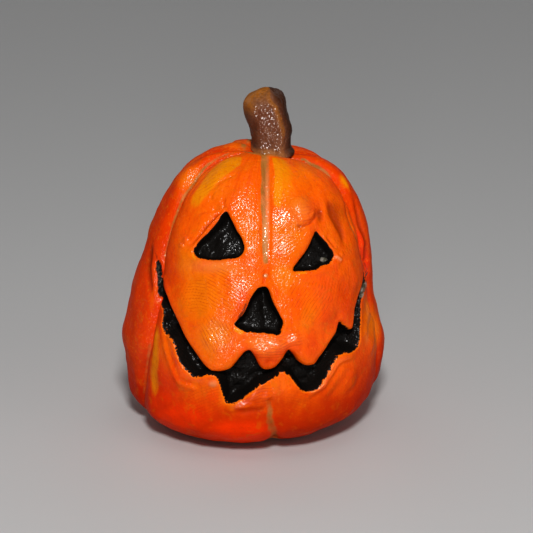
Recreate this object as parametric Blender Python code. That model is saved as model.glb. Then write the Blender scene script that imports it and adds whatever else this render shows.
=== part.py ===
"""A carved pumpkin lantern, hand-modelled in clay and painted, 58 mm tall.

The body is one solid lump: eight pumpkin lobes, a wide jaw, a narrower head
that leans a little to its left, two triangular eyes, a triangular nose and a
wide grin with four teeth, all pressed in as shallow recesses. The stem is a
separate roll of clay set on a flat seat on the crown.

Metres, +Z up. The face looks along -Y. The origin is on the table, in the
middle of the body's outline.
"""

import math

import bmesh
import bpy
import numpy as np
from mathutils import Matrix, Vector

MM = 0.001

# ---------------------------------------------------------------- body sizes
HEART_Z = 18.0  # height of the point that the skin is measured from
CENTRE_X, CENTRE_Y = -0.35, 0.07  # puts the origin in the middle of the outline
LEAN_X, LEAN_Y = 1.7, 1.0  # how far the crown is pushed over
LEAN_FROM, LEAN_TO = 12.0, 45.0  # heights over which it is pushed

# Distance of the skin from the heart, by angle above the horizontal, in four
# directions: where the face looks, the back, and the object's two sides.
ANGLE = (-60, -44, -32, -22, -12, -2, 8, 18, 28, 38, 48, 58, 68, 79, 90)
FRONT = (22.4, 23.3, 24.1, 22.3, 21.1, 20.3, 19.7, 19.9, 20.3, 21.3, 22.6, 24.4, 26.4, 27.8, 27.2)
BACK = (22.4, 23.7, 23.3, 22.3, 21.3, 20.5, 19.9, 19.9, 20.1, 21.2, 22.4, 24.4, 26.3, 27.6, 27.2)
LEFT = (22.4, 23.9, 24.0, 22.3, 21.7, 21.0, 20.6, 20.6, 20.9, 22.5, 24.3, 26.4, 27.6, 27.5, 27.2)
RIGHT = (22.4, 23.0, 24.1, 23.4, 22.3, 20.8, 19.9, 20.3, 21.3, 22.8, 24.3, 26.1, 27.1, 26.8, 27.2)

# The eight grooves between the lobes: azimuth from the face at seven angles
# above the horizontal, how far the lobe falls towards it, depth and width.
GROOVE_ANGLE = (-45, -25, -5, 15, 35, 55, 80)
GROOVES = (
    ((8, 4, 2, 0, -1, 0, 0), 0.35, 0.45, 0.9),
    ((75, 74, 76, 77, 71, 73, 82), 1.2, 0.8, 0.9),
    ((105, 105, 105, 105, 105, 105, 105), 1.2, 0.7, 0.9),
    ((143, 143, 143, 143, 143, 143, 143), 1.2, 0.7, 0.9),
    ((180, 180, 180, 180, 180, 180, 180), 1.2, 0.7, 0.9),
    ((217, 217, 217, 217, 217, 217, 217), 1.2, 0.7, 0.9),
    ((255, 255, 255, 255, 255, 255, 255), 1.2, 0.7, 0.9),
    ((284, 291, 298, 298, 291, 288, 276), 1.2, 0.8, 0.9),
)
LOBE_POWER = 3.0  # how flat a lobe is across its crest

# Soft swellings of the face: azimuth, height, radius and rise.
SWELLINGS = (
    (-22.0, 24.0, 6.0, 0.5),  # cheek
    (27.0, 23.5, 6.0, 0.5),  # cheek
    (22.0, 38.0, 3.6, 0.9),  # brow over the eye
    (-17.0, 38.5, 3.2, 0.5),  # forehead
    (0.0, 20.0, 3.2, 0.6),  # lip under the nose
    (-38.0, 12.5, 4.0, 0.5),  # chin, one side
    (34.0, 11.5, 4.0, 0.5),  # chin, other side
    (1.0, 20.0, 1.7, 0.45),  # upper lip, which the front groove doesn't cross
    (3.0, 11.4, 1.6, 0.35),  # lower lip, which it doesn't cross either
)

# ------------------------------------------------------------- recess sizes
# Corners of each outline, in the plane that touches the skin at its middle.
EYE_DEPTH, NOSE_DEPTH, MOUTH_DEPTH = 2.2, 2.4, 2.4
LEFT_EYE_AT = (-29.0, 34.7)  # azimuth, height
LEFT_EYE_FACES = (-26.0, 28.0)  # azimuth and angle above the horizontal
LEFT_EYE = ((0.9, 4.8), (4.6, -0.3), (3.9, -2.1), (0.3, -3.1), (-2.7, -3.0), (-3.5, -2.3), (-2.8, -0.4), (-0.8, 2.1))
RIGHT_EYE_AT = (27.5, 32.4)
RIGHT_EYE_FACES = (23.0, 24.0)
RIGHT_EYE = ((1.1, 3.7), (2.8, 0.6), (3.5, -0.5), (2.1, -1.7), (-0.3, -2.3), (-4.0, -2.0), (-3.9, -1.3), (-1.5, 0.7))
NOSE_AT = (-1.7, 24.7)
NOSE_FACES = (-3.0, 19.0)
NOSE = ((-0.2, 4.0), (1.2, 4.0), (2.2, 1.6), (3.7, -1.6), (3.0, -3.5), (-0.3, -3.3), (-2.4, -2.8), (-4.0, -1.9), (-2.2, 0.5))

# The grin, as azimuth and height: its upper edge with four teeth, from the
# object's -X corner to its +X corner, and its lower edge back again.
MOUTH_TOP = (
    (-73.0, 30.8), (-60.5, 27.9), (-46.5, 23.5), (-35.5, 19.0),
    (-24.7, 15.3), (-19.5, 15.5),  # first tooth
    (-12.0, 18.0), (-6.5, 18.8), (-0.6, 15.9), (4.1, 16.2),  # second tooth
    (11.1, 18.5), (17.9, 15.9), (22.3, 15.7),  # third tooth
    (25.0, 17.0), (38.6, 21.1), (42.4, 19.8), (47.2, 18.8),  # small tooth
    (50.0, 21.0), (58.7, 25.2), (63.5, 29.3),
)
MOUTH_BOTTOM = (
    (66.0, 28.2), (59.3, 23.8), (56.4, 21.5), (53.2, 18.8), (47.7, 16.6),
    (38.0, 16.5), (31.5, 15.4), (26.6, 12.6), (22.3, 11.7), (18.0, 11.6),
    (13.8, 13.2), (7.5, 15.3), (2.9, 14.2), (-2.6, 13.7), (-13.4, 10.2),
    (-16.8, 10.1), (-21.5, 14.6), (-32.2, 14.0), (-41.5, 17.8),
    (-51.6, 21.6), (-54.0, 23.6), (-64.0, 26.3),
)
MOUTH_STRIP = 6.0  # degrees between the cuts that let the outline bend

# --------------------------------------------------------------- stem sizes
STEM_X, STEM_Y = 3.2, 1.8  # middle of its seat
STEM_TOP = 55.2
# Shares of the stem's height, where its middle stands along X, and its radius
# up to the share where the rounded tip begins.
STEM_SHARE = (0.0, 0.10, 0.29, 0.49, 0.64, 0.80, 0.88, 0.95, 1.0)
STEM_MIDDLE = (3.15, 3.05, 3.05, 2.60, 2.12, 1.98, 2.12, 2.52, 2.75)
STEM_RADIUS = (3.45, 3.15, 3.28, 3.46, 3.50, 3.38, 3.36, 3.36, 3.36)
STEM_TIP = 0.745
SEAT_Z = 44.7  # flat seat on the crown
SEAT_RADIUS = 4.3
GAP = 0.3  # between the stem and its seat
STEM_SIDES = 20
STEM_RINGS = 16


def natural_spline(xs, ys):
    """The smooth curve through the points, as a function of x."""
    xs, ys = np.array(xs, float), np.array(ys, float)
    n, h = len(xs), np.diff(xs)
    a, b = np.eye(n), np.zeros(n)
    for i in range(1, n - 1):
        a[i, i - 1 : i + 2] = h[i - 1], 2 * (h[i - 1] + h[i]), h[i]
        b[i] = 6 * ((ys[i + 1] - ys[i]) / h[i] - (ys[i] - ys[i - 1]) / h[i - 1])
    m = np.linalg.solve(a, b)

    def at(x):
        x = min(max(x, xs[0]), xs[-1])
        i = int(min(max(np.searchsorted(xs, x) - 1, 0), n - 2))
        t, w = x - xs[i], h[i]
        slope = (ys[i + 1] - ys[i]) / w - w * (2 * m[i] + m[i + 1]) / 6
        return ys[i] + t * slope + t * t * m[i] / 2 + t**3 * (m[i + 1] - m[i]) / (6 * w)

    return at


FRONT_AT, BACK_AT = natural_spline(ANGLE, FRONT), natural_spline(ANGLE, BACK)
LEFT_AT, RIGHT_AT = natural_spline(ANGLE, LEFT), natural_spline(ANGLE, RIGHT)


def smooth(t):
    t = min(max(t, 0.0), 1.0)
    return t * t * (3 - 2 * t)


def leaned(x, y, z):
    """A point of the upright form moved to where the leaning form has it."""
    k = smooth((z - LEAN_FROM) / (LEAN_TO - LEAN_FROM))
    return Vector((x + CENTRE_X + LEAN_X * k, y + CENTRE_Y + LEAN_Y * k, z))


def groove_azimuths(angle):
    return [float(np.interp(angle, GROOVE_ANGLE, row[0])) for row in GROOVES]


def reach(azimuth, angle):
    """Distance of the skin from the heart, in millimetres."""
    a = math.radians(azimuth)
    front = FRONT_AT(angle) if math.cos(a) > 0 else BACK_AT(angle)
    side = RIGHT_AT(angle) if math.sin(a) > 0 else LEFT_AT(angle)
    r = math.cos(a) ** 2 * front + math.sin(a) ** 2 * side
    out = r * math.cos(math.radians(angle))
    drop, places = 0.0, groove_azimuths(angle)
    for i, (_, fall, depth, width) in enumerate(GROOVES):
        nxt = (i + 1) % len(GROOVES)
        span = (places[nxt] - places[i]) % 360
        u = ((azimuth - places[i]) % 360) / span
        if u < 1:
            edge_fall = fall if u < 0.5 else GROOVES[nxt][1]
            drop += edge_fall * abs(2 * u - 1) ** LOBE_POWER
        off = math.radians((azimuth - places[i] + 180) % 360 - 180) * out
        drop += depth * math.exp(-abs(off / width) ** 1.5)
    r -= drop * smooth(out / 9)
    for az, height, radius, rise in SWELLINGS:
        if abs(azimuth) < 90:
            across = math.radians(azimuth - az) * 19.0
            up = r * math.sin(math.radians(angle)) + HEART_Z - height
            r += rise * math.exp(-(across**2 + up**2) / radius**2)
    return r


def skin(azimuth, angle, sink=0.0):
    """The point of the skin in that direction, in millimetres."""
    a, e = math.radians(azimuth), math.radians(angle)
    r = reach(azimuth, angle) - sink
    flat = r * math.cos(e)
    return leaned(flat * math.sin(a), -flat * math.cos(a), HEART_Z + r * math.sin(e))


def angle_of(azimuth, height):
    """The angle above the horizontal at which the skin has that height."""
    angle = 0.0
    for _ in range(40):
        r = reach(azimuth, angle)
        wanted = math.degrees(math.asin(max(-1.0, min(1.0, (height - HEART_Z) / r))))
        angle += 0.6 * (wanted - angle)
    return angle


def material(name, colour, roughness):
    made = bpy.data.materials.new(name)
    made.use_nodes = True
    shader = made.node_tree.nodes["Principled BSDF"]
    shader.inputs["Base Color"].default_value = (*colour, 1.0)
    shader.inputs["Roughness"].default_value = roughness
    shader.inputs["Metallic"].default_value = 0.0
    return made


def new_object(name, mesh, collection, finish=None):
    made = bpy.data.objects.new(name, mesh)
    collection.objects.link(made)
    if finish:
        made.data.materials.append(finish)
    return made


def cutter_finish(obj):
    obj.hide_render = True
    obj.display_type = "WIRE"


def rounded(outline, rounds=1):
    """The closed outline with its corners cut back."""
    for _ in range(rounds):
        out = []
        for i, (x, y) in enumerate(outline):
            nx, ny = outline[(i + 1) % len(outline)]
            out += [(x + 0.2 * (nx - x), y + 0.2 * (ny - y)), (x + 0.8 * (nx - x), y + 0.8 * (ny - y))]
        outline = out
    return outline


def slab(name, outline, half, collection):
    """A flat outline in XY, extruded to both sides along Z, as a mesh object."""
    curve = bpy.data.curves.new(name + "_outline", "CURVE")
    curve.dimensions = "2D"
    curve.fill_mode = "BOTH"
    curve.extrude = half
    line = curve.splines.new("POLY")
    line.points.add(len(outline) - 1)
    for point, (x, y) in zip(line.points, outline):
        point.co = (x, y, 0.0, 1.0)
    line.use_cyclic_u = True
    drawn = bpy.data.objects.new(name + "_outline", curve)
    collection.objects.link(drawn)
    bpy.context.view_layer.update()
    graph = bpy.context.evaluated_depsgraph_get()
    mesh = bpy.data.meshes.new_from_object(drawn.evaluated_get(graph))
    mesh.name = name
    bpy.data.objects.remove(drawn)
    bm = bmesh.new()
    bm.from_mesh(mesh)
    bmesh.ops.remove_doubles(bm, verts=bm.verts, dist=1e-6)
    bmesh.ops.recalc_face_normals(bm, faces=bm.faces)
    bm.to_mesh(mesh)
    bm.free()
    return new_object(name, mesh, collection)


def socket_cutter(name, outline, at, faces, depth, collection):
    """A straight-sided cutter whose flat floor lies at depth under the skin."""
    half = 4.0
    obj = slab(name, [(x * MM, y * MM) for x, y in rounded(outline)], half * MM, collection)
    a, e = (math.radians(v) for v in faces)
    normal = Vector((math.sin(a) * math.cos(e), -math.cos(a) * math.cos(e), math.sin(e)))
    across = Vector((0, 0, 1)).cross(normal).normalized()
    up = normal.cross(across)
    turn = Matrix((across, up, normal)).transposed().to_4x4()
    middle = skin(at[0], angle_of(*at)) + normal * (half - depth)
    obj.matrix_world = Matrix.Translation(middle * MM) @ turn
    cutter_finish(obj)
    return obj


def mouth_cutter(name, collection):
    """The grin's outline as a slab, bent round the body."""
    outline = rounded(MOUTH_TOP + MOUTH_BOTTOM)
    obj = slab(name, outline, 1.0, collection)
    bm = bmesh.new()
    bm.from_mesh(obj.data)
    x = -90.0
    while x < 90.0:
        bmesh.ops.bisect_plane(
            bm,
            geom=bm.verts[:] + bm.edges[:] + bm.faces[:],
            plane_co=(x, 0, 0),
            plane_no=(1, 0, 0),
            dist=1e-4,
        )
        x += MOUTH_STRIP
    bmesh.ops.triangulate(bm, faces=bm.faces)
    for v in bm.verts:
        azimuth, height, side = v.co
        angle = angle_of(azimuth, height)
        point = skin(azimuth, angle)
        a = math.radians(azimuth)
        out = Vector((math.sin(a), -math.cos(a), 0.0))
        v.co = (point + out * (3.0 if side > 0 else -MOUTH_DEPTH)) * MM
    bmesh.ops.recalc_face_normals(bm, faces=bm.faces)
    bm.to_mesh(obj.data)
    bm.free()
    cutter_finish(obj)
    return obj


def make_body(collection, helpers):
    """A sphere whose meridians follow the grooves, pulled out to the skin."""
    per_lobe, rings = 8, 38
    bm = bmesh.new()
    bmesh.ops.create_uvsphere(bm, u_segments=per_lobe * len(GROOVES), v_segments=rings, radius=1.0)
    for v in bm.verts:
        angle = math.degrees(math.asin(max(-1.0, min(1.0, v.co.z))))
        if abs(angle) > 89.9:
            azimuth = 0.0
        else:
            turn = (math.degrees(math.atan2(v.co.x, -v.co.y)) % 360) / 360 * len(GROOVES)
            lobe, part = int(turn + 1e-6) % len(GROOVES), (turn + 1e-6) % 1.0
            places = groove_azimuths(angle)
            span = (places[(lobe + 1) % len(places)] - places[lobe]) % 360
            part -= 0.06 * math.sin(2 * math.pi * part)
            azimuth = places[lobe] + part * span
        azimuth = (azimuth + 180) % 360 - 180
        v.co = skin(azimuth, angle) * MM
    bmesh.ops.bisect_plane(
        bm,
        geom=bm.verts[:] + bm.edges[:] + bm.faces[:],
        plane_co=(0, 0, 0),
        plane_no=(0, 0, -1),
        clear_outer=True,
    )
    rim = [e for e in bm.edges if e.is_boundary]
    bmesh.ops.contextual_create(bm, geom=rim)
    bmesh.ops.recalc_face_normals(bm, faces=bm.faces)
    mesh = bpy.data.meshes.new("pumpkin")
    bm.to_mesh(mesh)
    bm.free()
    body = new_object("pumpkin", mesh, collection, material("orange_clay", (0.85, 0.15, 0.01), 0.3))

    seat = bmesh.new()
    bmesh.ops.create_cone(
        seat, cap_ends=True, segments=28, radius1=SEAT_RADIUS * MM, radius2=(SEAT_RADIUS + 1.0) * MM, depth=5 * MM
    )
    seat_mesh = bpy.data.meshes.new("stem_seat_cutter")
    seat.to_mesh(seat_mesh)
    seat.free()
    seat_cutter = new_object("stem_seat_cutter", seat_mesh, helpers)
    seat_cutter.location = Vector((STEM_X, STEM_Y, SEAT_Z + 2.5)) * MM
    cutter_finish(seat_cutter)

    cutters = [
        socket_cutter("left_eye_cutter", LEFT_EYE, LEFT_EYE_AT, LEFT_EYE_FACES, EYE_DEPTH, helpers),
        socket_cutter("right_eye_cutter", RIGHT_EYE, RIGHT_EYE_AT, RIGHT_EYE_FACES, EYE_DEPTH, helpers),
        socket_cutter("nose_cutter", NOSE, NOSE_AT, NOSE_FACES, NOSE_DEPTH, helpers),
        mouth_cutter("mouth_cutter", helpers),
        seat_cutter,
    ]
    for cutter in cutters:
        cut = body.modifiers.new(cutter.name, "BOOLEAN")
        cut.operation = "DIFFERENCE"
        cut.solver = "EXACT"
        cut.object = cutter
    body.data.shade_smooth()
    return body


def stem_section(turn, k):
    """Radius of the stem at a turn round it and a share k of its height."""
    flat_front = 1 - 0.07 * math.exp(-(((math.degrees(turn) + 5 + 180) % 360 - 180) / 35) ** 2)
    ridge = 1 + 0.05 * math.exp(-(((math.degrees(turn) - 32 + 180) % 360 - 180) / 16) ** 2)
    return natural_spline(STEM_SHARE, STEM_RADIUS)(min(k, STEM_TIP)) * flat_front * ridge


def make_stem(collection):
    """A sphere stretched into a short thick roll with a flat foot."""
    bm = bmesh.new()
    bmesh.ops.create_uvsphere(bm, u_segments=STEM_SIDES, v_segments=STEM_RINGS, radius=1.0)
    foot = SEAT_Z + GAP
    middle = natural_spline(STEM_SHARE, STEM_MIDDLE)
    for v in bm.verts:
        up = v.co.z
        turn = math.atan2(v.co.x, -v.co.y)
        flat = math.hypot(v.co.x, v.co.y)
        share = (math.degrees(math.asin(max(-1.0, min(1.0, up)))) + 90) / 180
        if share < 0.12:  # the flat foot
            k, size = 0.0, min(flat / math.sin(math.pi * 0.125), 1.0)
        elif share < 0.60:  # the shaft
            k, size = (share - 0.125) / 0.475 * STEM_TIP, 1.0
        else:  # the rounded tip
            q = (share - 0.60) / 0.40 * math.pi / 2
            k, size = STEM_TIP + (1 - STEM_TIP) * math.sin(q), max(math.cos(q), 0.0)
        r = stem_section(turn, k) * size
        x = middle(k) + r * math.sin(turn)
        y = STEM_Y - 0.2 * k - r * math.cos(turn)
        v.co = Vector((x, y, foot + (STEM_TOP - foot) * k)) * MM
    bmesh.ops.recalc_face_normals(bm, faces=bm.faces)
    mesh = bpy.data.meshes.new("stem")
    bm.to_mesh(mesh)
    bm.free()
    mesh.shade_smooth()
    return new_object("stem", mesh, collection, material("brown_clay", (0.16, 0.07, 0.035), 0.4))


def main():
    for obj in list(bpy.data.objects):
        bpy.data.objects.remove(obj)
    lantern = bpy.data.collections.new("pumpkin_lantern")
    helpers = bpy.data.collections.new("cutters")
    for collection in (lantern, helpers):
        bpy.context.scene.collection.children.link(collection)
    make_body(lantern, helpers)
    make_stem(lantern)


main()
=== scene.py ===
"""The looks of the carved pumpkin lantern: a small lump of clay, sculpted with
the fingers, painted orange with khaki grooves and black recesses, and varnished.

The clay is sculpted here as a distance field. The skin is the same table of
distances from the heart of the lump that the construction uses, and every
finger mark, fold and lip is added to it as a stroke. The field is meshed,
and what the paint needs to know is kept on the mesh as attributes.

Lengths are in millimetres until the meshes are made, which are in metres.
"""

import math

import bpy
import numpy as np
from mathutils import Matrix, Vector


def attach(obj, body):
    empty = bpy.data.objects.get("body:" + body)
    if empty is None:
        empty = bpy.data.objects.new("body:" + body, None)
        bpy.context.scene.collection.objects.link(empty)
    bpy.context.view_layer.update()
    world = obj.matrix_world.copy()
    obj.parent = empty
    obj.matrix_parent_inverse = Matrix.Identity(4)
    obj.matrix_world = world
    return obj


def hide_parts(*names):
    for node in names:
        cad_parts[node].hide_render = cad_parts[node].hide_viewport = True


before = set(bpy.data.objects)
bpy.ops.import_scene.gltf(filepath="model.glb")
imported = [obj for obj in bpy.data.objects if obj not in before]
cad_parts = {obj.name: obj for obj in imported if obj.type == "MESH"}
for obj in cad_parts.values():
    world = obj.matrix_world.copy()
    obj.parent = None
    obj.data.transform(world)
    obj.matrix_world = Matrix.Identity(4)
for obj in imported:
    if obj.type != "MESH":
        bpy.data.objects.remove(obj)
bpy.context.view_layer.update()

MM = 0.001
F4 = np.float32

# ------------------------------------------------------------------ the view
# Where the camera stands. The places of strokes are given as they look from
# there, in pixels of its 533 by 533 frame, and are carried onto the skin.
CAM_AZ, CAM_EL, CAM_FAR = -6.0, 21.0, 420.0
FRAME_PX, PX_PER_MM = 533, 6.0
ORIGIN_PX = (254.1, 409.1)
FOCAL_PX = PX_PER_MM * CAM_FAR

# -------------------------------------------------------- sizes from the part
HEART_Z = 18.0
CENTRE_X, CENTRE_Y = -0.35, 0.07
LEAN_X, LEAN_Y = 1.7, 1.0
LEAN_FROM, LEAN_TO = 12.0, 45.0
ANGLE = (-60, -44, -32, -22, -12, -2, 8, 18, 28, 38, 48, 58, 68, 79, 90)
FRONT = (22.4, 23.3, 24.1, 22.3, 21.1, 20.3, 19.7, 19.9, 20.3, 21.3, 22.6, 24.4, 26.4, 27.8, 27.2)
BACK = (22.4, 23.7, 23.3, 22.3, 21.3, 20.5, 19.9, 19.9, 20.1, 21.2, 22.4, 24.4, 26.3, 27.6, 27.2)
LEFT = (22.4, 23.9, 24.0, 22.3, 21.7, 21.0, 20.6, 20.6, 20.9, 22.5, 24.3, 26.4, 27.6, 27.5, 27.2)
RIGHT = (22.4, 23.0, 24.1, 23.4, 22.3, 20.8, 19.9, 20.3, 21.3, 22.8, 24.3, 26.1, 27.1, 26.8, 27.2)
GROOVE_ANGLE = (-45, -25, -5, 15, 35, 55, 80)
GROOVES = (
    ((8, 4, 2, 0, -1, 0, 0), 0.35, 0.45, 0.9),
    ((75, 74, 76, 77, 71, 73, 82), 1.2, 0.8, 0.9),
    ((105, 105, 105, 105, 105, 105, 105), 1.2, 0.7, 0.9),
    ((143, 143, 143, 143, 143, 143, 143), 1.2, 0.7, 0.9),
    ((180, 180, 180, 180, 180, 180, 180), 1.2, 0.7, 0.9),
    ((217, 217, 217, 217, 217, 217, 217), 1.2, 0.7, 0.9),
    ((255, 255, 255, 255, 255, 255, 255), 1.2, 0.7, 0.9),
    ((284, 291, 298, 298, 291, 288, 276), 1.2, 0.8, 0.9),
)
LOBE_POWER = 3.0
SWELLINGS = (
    (-22.0, 24.0, 6.0, 0.5),
    (27.0, 23.5, 6.0, 0.5),
    (22.0, 38.0, 3.6, 0.9),
    (-17.0, 38.5, 3.2, 0.5),
    (0.0, 20.0, 3.2, 0.6),
    (-38.0, 12.5, 4.0, 0.5),
    (34.0, 11.5, 4.0, 0.5),
    (1.0, 20.0, 1.7, 0.45),
    (3.0, 11.4, 1.6, 0.35),
)
STEM_X, STEM_Y = 3.2, 1.8
SEAT_Z, SEAT_RADIUS = 44.7, 4.3
SEAT_TILT_X, SEAT_TILT_Y = -0.10, 0.10
STEM_TOP = 55.2
STEM_SHARE = (0.0, 0.10, 0.29, 0.49, 0.64, 0.80, 0.88, 0.95, 1.0)
STEM_MIDDLE = (3.15, 3.05, 3.05, 2.60, 2.12, 1.98, 2.12, 2.52, 2.75)
STEM_RADIUS = (3.45, 3.15, 3.28, 3.46, 3.50, 3.38, 3.36, 3.36, 3.36)
STEM_TIP = 0.745

CELL = 0.22  # size of the mesh cells on the clay
MOST_TRIANGLES = 192000


# ------------------------------------------------------------------- helpers
def natural_spline(xs, ys, x):
    xs, ys = np.array(xs, float), np.array(ys, float)
    n, h = len(xs), np.diff(xs)
    a, b = np.eye(n), np.zeros(n)
    for i in range(1, n - 1):
        a[i, i - 1 : i + 2] = h[i - 1], 2 * (h[i - 1] + h[i]), h[i]
        b[i] = 6 * ((ys[i + 1] - ys[i]) / h[i] - (ys[i] - ys[i - 1]) / h[i - 1])
    m = np.linalg.solve(a, b)
    x = np.clip(x, xs[0], xs[-1])
    i = np.clip(np.searchsorted(xs, x) - 1, 0, n - 2)
    t, w = x - xs[i], h[i]
    slope = (ys[i + 1] - ys[i]) / w - w * (2 * m[i] + m[i + 1]) / 6
    return ys[i] + t * slope + t * t * m[i] / 2 + t**3 * (m[i + 1] - m[i]) / (6 * w)


def smooth(t):
    t = np.clip(t, 0.0, 1.0)
    return t * t * (3 - 2 * t)


def smooth_max(a, b, k):
    h = np.maximum(k - np.abs(a - b), 0.0) / k
    return np.maximum(a, b) + h * h * k * 0.25


def smooth_min(a, b, k):
    return -smooth_max(-a, -b, k)


class Lumps:
    """A smooth random field of about unit size, made of a few sine waves."""

    def __init__(self, seed, wavelength, waves=18, spread=0.45):
        rng = np.random.default_rng(seed)
        way = rng.normal(size=(waves, 3))
        way /= np.linalg.norm(way, axis=1)[:, None]
        size = 2 * np.pi / (wavelength * np.exp(rng.uniform(-spread, spread, waves)))
        self.k = (way * size[:, None]).astype(F4)
        self.phase = rng.uniform(0, 2 * np.pi, waves).astype(F4)

    def __call__(self, points):
        points = np.asarray(points, F4)
        out = np.zeros(points.shape[:-1], F4)
        for k, phase in zip(self.k, self.phase):
            out += np.sin(points @ k + phase)
        return out / math.sqrt(len(self.k) / 2)


def seat_at(x, y):
    """Height of the seat, which leans with the crown."""
    return SEAT_Z + SEAT_TILT_X * (x - STEM_X) + SEAT_TILT_Y * (y - STEM_Y)


# ------------------------------------------------------------ the clay's skin
MAP_STEP = 0.25  # degrees between the places of the skin's map
MAP_AZ = np.arange(-180, 180 + MAP_STEP / 2, MAP_STEP)
MAP_EL = np.arange(-60, 90 + MAP_STEP / 2, MAP_STEP)


def groove_azimuth(i, angle):
    return np.interp(angle, GROOVE_ANGLE, GROOVES[i][0])


def reach(azimuth, angle):
    """Distance of the skin from the heart, before any stroke."""
    a = np.radians(azimuth)
    front = np.where(np.cos(a) > 0, natural_spline(ANGLE, FRONT, angle), natural_spline(ANGLE, BACK, angle))
    side = np.where(np.sin(a) > 0, natural_spline(ANGLE, RIGHT, angle), natural_spline(ANGLE, LEFT, angle))
    r = np.cos(a) ** 2 * front + np.sin(a) ** 2 * side
    out = r * np.cos(np.radians(angle))
    drop = np.zeros_like(r)
    for i, (_, fall, depth, width) in enumerate(GROOVES):
        nxt = (i + 1) % len(GROOVES)
        here, there = groove_azimuth(i, angle), groove_azimuth(nxt, angle)
        u = ((azimuth - here) % 360) / ((there - here) % 360)
        edge_fall = np.where(u < 0.5, fall, GROOVES[nxt][1])
        drop += np.where(u < 1, edge_fall * np.abs(2 * u - 1) ** LOBE_POWER, 0.0)
        off = np.radians((azimuth - here + 180) % 360 - 180) * out
        drop += depth * np.exp(-np.abs(off / width) ** 1.5)
    r = r - drop * smooth(out / 9)
    for az, height, radius, rise in SWELLINGS:
        across = np.radians(azimuth - az) * 19.0
        up = r * np.sin(np.radians(angle)) + HEART_Z - height
        r = r + np.where(np.abs(azimuth) < 90, rise * np.exp(-(across**2 + up**2) / radius**2), 0.0)
    return r


def lean_of(z):
    return smooth((z - LEAN_FROM) / (LEAN_TO - LEAN_FROM))


def from_sphere(azimuth, angle, r):
    a, e = np.radians(azimuth), np.radians(angle)
    z = HEART_Z + r * np.sin(e)
    k = lean_of(z)
    flat = r * np.cos(e)
    return np.stack((flat * np.sin(a) + CENTRE_X + LEAN_X * k, -flat * np.cos(a) + CENTRE_Y + LEAN_Y * k, z), -1)


def to_sphere(points):
    """Azimuth, angle above the horizontal and distance from the heart."""
    k = lean_of(points[..., 2])
    x = points[..., 0] - CENTRE_X - LEAN_X * k
    y = points[..., 1] - CENTRE_Y - LEAN_Y * k
    z = points[..., 2] - HEART_Z
    flat = np.hypot(x, y)
    return np.degrees(np.arctan2(x, -y)), np.degrees(np.arctan2(z, flat)), np.hypot(flat, z)


def lookup(table, azimuth, angle):
    i = np.clip((azimuth + 180) / MAP_STEP, 0, len(MAP_AZ) - 1.001)
    j = np.clip((angle + 60) / MAP_STEP, 0, len(MAP_EL) - 1.001)
    i0, j0 = i.astype(np.int32), j.astype(np.int32)
    u, v = (i - i0).astype(F4), (j - j0).astype(F4)
    return (
        table[j0, i0] * (1 - u) * (1 - v)
        + table[j0, i0 + 1] * u * (1 - v)
        + table[j0 + 1, i0] * (1 - u) * v
        + table[j0 + 1, i0 + 1] * u * v
    )


AZ_GRID, EL_GRID = np.meshgrid(MAP_AZ, MAP_EL)
BARE = reach(AZ_GRID, EL_GRID).astype(F4)  # the skin with no stroke on it
PLACE = from_sphere(AZ_GRID, EL_GRID, BARE).astype(F4)


# ---------------------------------------------------------------- the camera
def view_axes():
    a, e = math.radians(CAM_AZ), math.radians(CAM_EL)
    back = np.array([math.sin(a) * math.cos(e), -math.cos(a) * math.cos(e), math.sin(e)])
    right = np.array([math.cos(a), math.sin(a), 0.0])
    return back, right, np.cross(back, right)


BACK_WAY, RIGHT_WAY, UP_WAY = view_axes()
HALF = FRAME_PX / 2
AIM = (
    -(ORIGIN_PX[0] - HALF) / FOCAL_PX * CAM_FAR * RIGHT_WAY
    + (ORIGIN_PX[1] - HALF) / FOCAL_PX * CAM_FAR * UP_WAY
)
EYE_AT = AIM + CAM_FAR * BACK_WAY
LAMP_AT = EYE_AT + UP_WAY * 165 + RIGHT_WAY * 6


def seen(pixels, table=None):
    """The points of the bare skin, or of another, seen at these places of the frame."""
    table = BARE if table is None else table
    px = np.atleast_2d(np.asarray(pixels, float))
    way = (
        -BACK_WAY
        + ((px[:, :1] - HALF) / FOCAL_PX) * RIGHT_WAY
        + ((HALF - px[:, 1:2]) / FOCAL_PX) * UP_WAY
    )
    way /= np.linalg.norm(way, axis=1)[:, None]
    t = np.linspace(CAM_FAR - 45, CAM_FAR + 30, 151)
    points = EYE_AT + way[:, None, :] * t[None, :, None]
    az, el, r = to_sphere(points)
    f = np.where(points[..., 2] < 0, 1.0, r - lookup(table, az, el))
    hit = (f < 0).any(axis=1)
    first = np.where(hit, np.argmax(f < 0, axis=1), np.argmin(f, axis=1))
    lo, hi = t[np.maximum(first - 1, 0)], t[first]
    for _ in range(22):
        mid = (lo + hi) / 2
        az, el, r = to_sphere(EYE_AT + way * mid[:, None])
        outside = r > lookup(table, az, el)
        lo, hi = np.where(outside, mid, lo), np.where(outside, hi, mid)
    return EYE_AT + way * np.where(hit, hi, t[first])[:, None]


# --------------------------------------------------------------- the strokes
def fine_line(points, step=0.35):
    """The points joined by a smooth curve, as close points and a share 0..1."""
    p = np.asarray(points, float)
    if len(p) == 2:
        p = np.array([p[0], p.mean(0), p[1]])
    ends = np.vstack((2 * p[0] - p[1], p, 2 * p[-1] - p[-2]))
    out = []
    for i in range(1, len(ends) - 2):
        a, b, c, d = ends[i - 1 : i + 3]
        n = max(1, int(math.ceil(np.linalg.norm(c - b) / step)))
        t = (np.arange(n) / n)[:, None]
        out.append(0.5 * (2 * b + (c - a) * t + (2 * a - 5 * b + 4 * c - d) * t**2 + (3 * b - a - 3 * c + d) * t**3))
    out = np.vstack(out + [p[-1:]])
    run = np.r_[0, np.cumsum(np.linalg.norm(np.diff(out, axis=0), axis=1))]
    return out, run / max(run[-1], 1e-9)


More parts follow.
